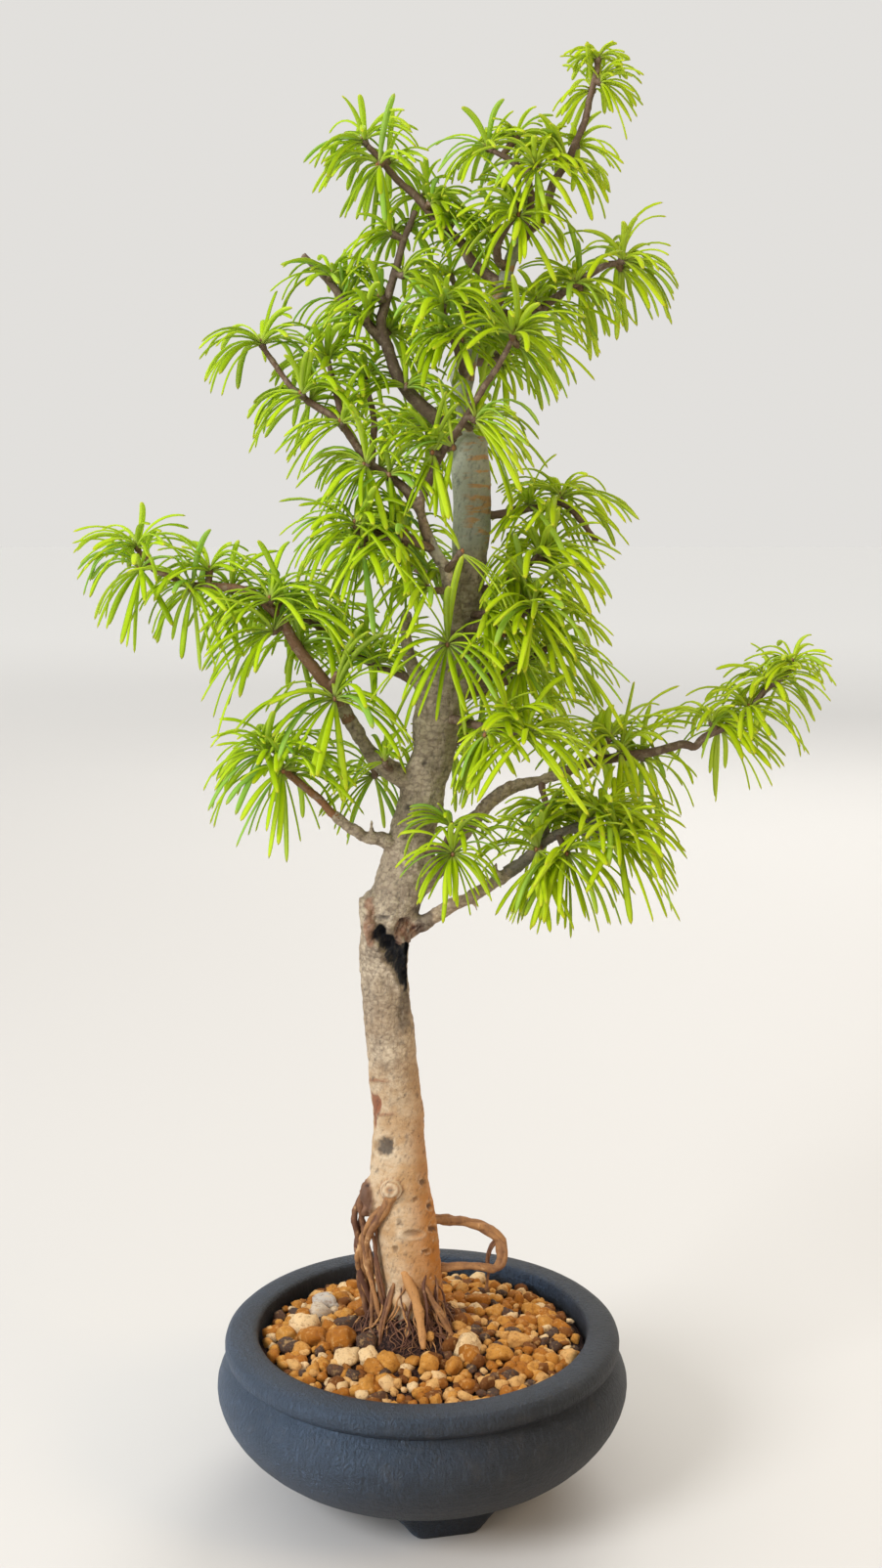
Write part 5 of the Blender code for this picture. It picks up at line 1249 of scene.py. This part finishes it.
def potClay():
    material, wire, vary = newMaterial("potClay", Specular_IOR_Level=0.38)
    place = objectPlace(wire)
    grain = wire.noise(wire.stretch(place, (1, 1, 0.14)), 650, 4, 0.6)
    speck = wire.noise(place, 780, 4, 0.75)
    cloud = wire.noise(place, 24, 4)
    patch = wire.noise(place, 130, 4, 0.65)
    vary("Base Color", wire.layered(potLook["clay"], [
        (cloud.between(0.30, 0.75), potLook["worn"]),
        (grain.between(0.50, 0.70) * 0.4, potLook["streak"]),
        (speck.between(0.66, 0.76) * 0.5, potLook["dust"]),
        (patch.between(0.52, 0.68) * 0.35, potLook["earth"])]))
    vary("Roughness", grain * 0.16 + cloud * 0.14 + patch * 0.12 + 0.28)
    vary("Normal", wire.bump(grain * 0.9 + speck * 1.3 + patch * 0.5, 0.9, potLook["bumpHeight"]))
    return material


def addFoot(pile, angle):  # a low bracket foot that narrows downwards, sunk in the pot's base
    halfX, halfY = (value * millimetre for value in footLook["halfSize"])
    corner = footLook["corner"] * millimetre
    steps = footLook["cornerSteps"]
    outline = []
    for signX, signY, start in ((1, 1, 0), (-1, 1, 90), (-1, -1, 180), (1, -1, 270)):
        for step in range(steps):
            bend = math.radians(start + step * 90 / (steps - 1))
            outline.append((signX * (halfX - corner) + corner * math.cos(bend),
                            signY * (halfY - corner) + corner * math.sin(bend)))
    turn = Matrix.Rotation(math.radians(angle), 3, "Z")
    levels = footLook["levels"]
    count = len(outline)
    corners = []
    for level, (share, height) in enumerate(levels):
        for x, y in outline:
            wave = 0.06 * math.cos(y / halfY * math.pi * 1.5) * (1 - level / len(levels))
            place = Vector((x * (share + 0.08) + footLook["reach"] * millimetre, y * (share + wave),
                            height * millimetre))
            corners.append(turn @ place + potAxis)
    faces = bands(len(levels), count)
    faces.append(tuple(reversed(range(count))))
    faces.append(tuple(range(len(corners) - count, len(corners))))
    pile.add(corners, faces)


def makePot():
    ring = potLook["profile"] + potLook["inside"]
    points = []
    for index, (radius, height) in enumerate(ring):
        after = ring[(index + 1) % len(ring)]
        pieces = max(1, round(math.hypot(after[0] - radius, after[1] - height) / potLook["cell"]))
        for number in range(pieces):
            share = number / pieces
            points.append((radius + (after[0] - radius) * share, height + (after[1] - height) * share))
    steps, count = potLook["steps"], len(points)
    corners, faces = [], []
    for number in range(steps):
        turn = math.tau * number / steps
        for radius, height in points:
            along = Vector((math.cos(turn), math.sin(turn), height / 40))
            wobble = abs(noise.noise(along * 1.7) * 0.16 + noise.noise(along * 9) * 0.07)
            reach = radius - wobble if radius > potLook["unevenFrom"] else radius
            corners.append(potPlace(math.cos(turn) * reach, math.sin(turn) * reach, height))
        a = number * count
        b = (number + 1) % steps * count
        for index in range(count):
            after = (index + 1) % count
            faces.append((a + index, b + index, b + after, a + after))
    pile = MeshPile()
    pile.add(corners, faces)
    for angle in footLook["turns"]:
        addFoot(pile, angle)
    pot = pile.make("clay_pot", [potClay()])
    pot.data.set_sharp_from_angle(angle=math.radians(potLook["sharpAngle"]))
    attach(pot, "root")
    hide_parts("pot")
    receivers = bpy.data.collections.new("glowReceivers")  # the low blue lamp lights the pot alone
    receivers.objects.link(pot)
    bpy.data.objects["potGlow"].light_linking.receiver_collection = receivers
    print("pot is turned")


makePot()


# Soil
soilLook = {
    "spacing": 4.7, "sizes": (1.8, 3.7), "someSizes": (0.8, 1.0, 1.0, 1.22), "jitter": 1.3,
    "edgeHeight": 63.5, "mound": 8.0, "moundReach": 72, "wall": 71.3,
    "ballCentre": (-5.0, -1.0), "ballTop": 81, "ballFlat": 14, "ballSlope": 0.62, "ballCurve": 1.12,
    "ballEnd": 30, "bareReach": 17.5, "sparseReach": 28, "sparse": 0.88,
    "lava": (0.065, 0.040, 0.030), "brown": (0.15, 0.050, 0.010), "amber": (0.35, 0.125, 0.014),
    "ochre": (0.50, 0.225, 0.040), "tan": (0.60, 0.34, 0.12), "cream": (0.70, 0.50, 0.27),
    "pumice": (0.46, 0.42, 0.37), "lightPatch": (0.68, 0.42, 0.17), "darkPatch": (0.22, 0.085, 0.020),
    "pit": (0.06, 0.024, 0.007), "bumpHeight": 0.0006,
}
bigGrains = [  # across, up, depth, half size in mm and tint of the stones that stand out
    (-42, 75.5, 26, 5.6, 0.99), (-46, 72.5, 19, 5.0, 0.985), (-51, 69, 3, 6.6, 0.94),
    (-36, 66, -14, 6.4, 0.42), (-47, 65, -8, 5.4, 0.44), (-60, 68, -2, 4.6, 0.60),
    (-33, 62, -28, 5.4, 0.95), (-24, 62, -30, 4.8, 0.93), (20, 68, -22, 5.6, 0.94), (10, 81, 38, 3.8, 0.70),
    (-33, 69, 2, 4.6, 0.05), (-24, 64, -20, 4.4, 0.08), (-58, 63, -12, 4.4, 0.06), (42, 66, -12, 5.0, 0.76),
    (31, 71, 14, 4.6, 0.60), (54, 68, 10, 4.4, 0.66), (-15, 60, -34, 4.6, 0.62), (2, 60, -38, 4.8, 0.70),
    (14, 61, -36, 4.4, 0.55), (33, 63, -26, 4.6, 0.68), (-52, 72, 14, 4.4, 0.50), (48, 71, 22, 4.2, 0.72),
    (24, 73, 26, 4.2, 0.48), (-28, 74, 18, 4.4, 0.30),
]


def soilHeight(x, y):  # mm above the ground at a place measured in mm from the pot's axis
    look = soilLook
    edge = look["edgeHeight"] + look["mound"] * (1 - (math.hypot(x, y) / look["moundReach"]) ** 2)
    away = math.dist((x, y), look["ballCentre"])
    if away >= look["ballEnd"]:
        return edge
    fall = look["ballSlope"] * max(0, away - look["ballFlat"]) ** look["ballCurve"]
    return max(edge, look["ballTop"] - fall)


growRoots()


def soilSkin():
    material, wire, vary = newMaterial("soilGrains", Specular_IOR_Level=0.2)
    place = objectPlace(wire)
    fine = wire.noise(place, 1500, 5, 0.65)
    patch = wire.noise(place, 420, 4, 0.6)
    look = soilLook
    tints = mark(wire, "tint").ramp([
        (0.0, look["lava"]), (0.08, look["lava"]), (0.12, look["brown"]), (0.24, look["brown"]),
        (0.30, look["amber"]), (0.50, look["amber"]), (0.58, look["ochre"]), (0.72, look["ochre"]),
        (0.80, look["tan"]), (0.88, look["tan"]), (0.93, look["cream"]), (0.975, look["cream"]),
        (0.99, look["pumice"])])
    vary("Base Color", wire.layered(tints, [
        (patch.between(0.52, 0.70) * 0.4, look["lightPatch"]),
        (patch.between(0.48, 0.34) * 0.5, look["darkPatch"]),
        (fine.between(0.44, 0.30) * 0.6, look["pit"])]))
    vary("Roughness", fine * 0.2 + 0.75)
    vary("Normal", wire.bump(fine + patch, 0.7, look["bumpHeight"]))
    return material


bedLook = {
    "dark": (0.016, 0.010, 0.010), "light": (0.10, 0.048, 0.034), "bumpHeight": 0.0012,
    "rings": 60, "steps": 128,
    "below": ((70.8, 44), (66, 30), (55, 19)), "bottom": 19,  # radius and height in mm inside the pot
}


def peat():
    material, wire, vary = newMaterial("darkPeat", Specular_IOR_Level=0.15)
    fine = wire.noise(objectPlace(wire), 900, 6, 0.7)
    vary("Base Color", wire.colourMix(fine.between(0.42, 0.66), bedLook["dark"], bedLook["light"]))
    vary("Roughness", fine * 0.2 + 0.78)
    vary("Normal", wire.bump(fine, 0.8, bedLook["bumpHeight"]))
    return material


def ballShape(detail):  # directions and faces of a round ball
    made = bmesh.new()
    bmesh.ops.create_icosphere(made, subdivisions=detail, radius=1)
    spokes = [vertex.co.copy() for vertex in made.verts]
    faces = [tuple(vertex.index for vertex in face.verts) for face in made.faces]
    made.free()
    return spokes, faces


grainLook = {"breaks": 9, "breakDepth": (0.60, 0.95), "whole": 1.14, "lumps": 0.22, "roughness": 0.10,
             "shape": ((0.95, 1.35), (0.85, 1.15), (0.70, 1.0))}


def addGrain(pile, centre, size, tint, draw, ball):  # a ball cut by flat breaks and roughened
    look = grainLook
    spokes, faces = ball
    turn = Matrix.Rotation(draw.uniform(0, 6), 3, "Z") @ Matrix.Rotation(draw.uniform(-0.8, 0.8), 3, "X")
    shape = Vector([draw.uniform(*limits) for limits in look["shape"]]) * size
    shift = Vector([draw.uniform(-50, 50) for _ in range(3)])
    breaks = []
    for _ in range(look["breaks"]):
        way = Vector([draw.gauss(0, 1) for _ in range(3)]).normalized()
        breaks.append((way, draw.uniform(*look["breakDepth"])))
    corners = []
    for spoke in spokes:
        reach = look["whole"]
        for way, depth in breaks:
            facing = way.dot(spoke)
            if facing > 0.2:
                reach = min(reach, depth / facing)
        reach += noise.noise(spoke * 1.5 + shift) * look["lumps"]
        reach += noise.noise(spoke * 4.2 + shift) * look["roughness"]
        corners.append(turn @ (spoke * shape * reach) + centre)
    pile.add(corners, faces, 0, tint=tint)


def scatterGrains():
    look = soilLook
    draw = random.Random(11)
    halves = {"front": MeshPile("tint"), "back": MeshPile("tint")}
    smallBall, bigBall = ballShape(2), ballShape(3)
    taken = []
    for across, up, depth, size, tint in bigGrains:
        x, y, _ = (spot(across, up, depth) - potAxis) / millimetre
        centre = potPlace(x, y, soilHeight(x, y) + size * 0.30)
        addGrain(halves["front"], centre, size * millimetre, tint, draw, bigBall)
        taken.append((x, y, size))
    spacing = look["spacing"]
    rowGap = spacing * 0.866
    rows = int(look["wall"] / rowGap) + 1
    for row in range(-rows, rows + 1):
        for column in range(-rows - 2, rows + 3):
            x = (column + 0.5 * (row % 2)) * spacing + draw.uniform(-look["jitter"], look["jitter"])
            y = row * rowGap + draw.uniform(-look["jitter"], look["jitter"])
            size = draw.uniform(*look["sizes"]) * draw.choice(look["someSizes"])
            away = math.dist((x, y), look["ballCentre"])
            tint = draw.uniform(0, 0.982)
            lift = draw.uniform(-0.8, 1.3)
            if math.hypot(x, y) + size > look["wall"]:
                continue
            if any(math.hypot(x - bigX, y - bigY) < big * 0.85 + size * 0.4 for bigX, bigY, big in taken):
                continue
            sparse = away < look["sparseReach"] and x < 13 and y < 3  # few grains on the lump in front
            if away < look["bareReach"] or sparse and draw.random() < look["sparse"]:
                continue
            centre = potPlace(x, y, soilHeight(x, y) + lift)
            addGrain(halves["front" if y < 0 else "back"], centre, size * millimetre, tint, draw, smallBall)
    material = soilSkin()
    for name, pile in halves.items():
        grains = pile.make("soil_grains_" + name, [material])
        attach(grains, "root")
        print("soil grains", name, len(pile.faces), "faces")


def makeBed():
    rings, steps = bedLook["rings"], bedLook["steps"]
    turns = [math.tau * number / steps for number in range(steps)]
    corners = [potPlace(0, 0, soilHeight(0, 0) - 1)]
    for ring in range(1, rings + 1):
        radius = soilLook["wall"] * ring / rings
        for turn in turns:
            x, y = radius * math.cos(turn), radius * math.sin(turn)
            rise = noise.fractal(Vector((x, y, 0)) * 0.30, 0.8, 2.0, 4) * 1.5 - 1.0
            corners.append(potPlace(x, y, soilHeight(x, y) + rise))
    for radius, height in bedLook["below"]:
        corners += [potPlace(radius * math.cos(turn), radius * math.sin(turn), height) for turn in turns]
    corners.append(potPlace(0, 0, bedLook["bottom"]))
    pile = MeshPile()
    pile.add(corners, closedFaces(rings + len(bedLook["below"]), steps))
    bed = pile.make("soil_bed", [peat()])
    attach(bed, "root")
    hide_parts("soil")


makeBed()
scatterGrains()
print("soil is laid")


# Drain screen, seen only from below
screenLook = {"dark": (0.012, 0.012, 0.013), "light": (0.030, 0.030, 0.032), "bumpHeight": 0.0002}


def screenPlastic():
    material, wire, vary = newMaterial("screenPlastic", Specular_IOR_Level=0.4)
    fine = wire.noise(objectPlace(wire), 1200, 3)
    vary("Base Color", wire.colourMix(fine, screenLook["dark"], screenLook["light"]))
    vary("Roughness", fine * 0.2 + 0.42)
    vary("Normal", wire.bump(fine, 0.2, screenLook["bumpHeight"]))
    return material


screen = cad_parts["drain_screen"]
screen.data.materials.clear()
screen.data.materials.append(screenPlastic())


# Floor
def makeFloor():
    material, wire, vary = newMaterial("paleFloor")
    place = objectPlace(wire)
    cloud = wire.noise(place, 3, 3)
    away = wire.node("VectorMath", {"operation": "LENGTH"}, {0: place}, 1) + cloud * 0.1
    # painted light: darker near the pot, lighter far off, against the lamps' fall-off
    far = away.between(*studio["floorFade"])
    vary("Base Color", wire.colourMix(far, studio["floorNear"], studio["floorFar"]))
    vary("Roughness", cloud * 0.1 + 0.6)
    half = studio["floorSize"] / 2
    pile = MeshPile()
    pile.add([Vector((x, y, 0)) for x, y in ((-half, -half), (half, -half), (half, half), (-half, half))],
             [(0, 1, 2, 3)])
    pile.make("studio_floor", [material])


makeFloor()

print("all pieces are made")
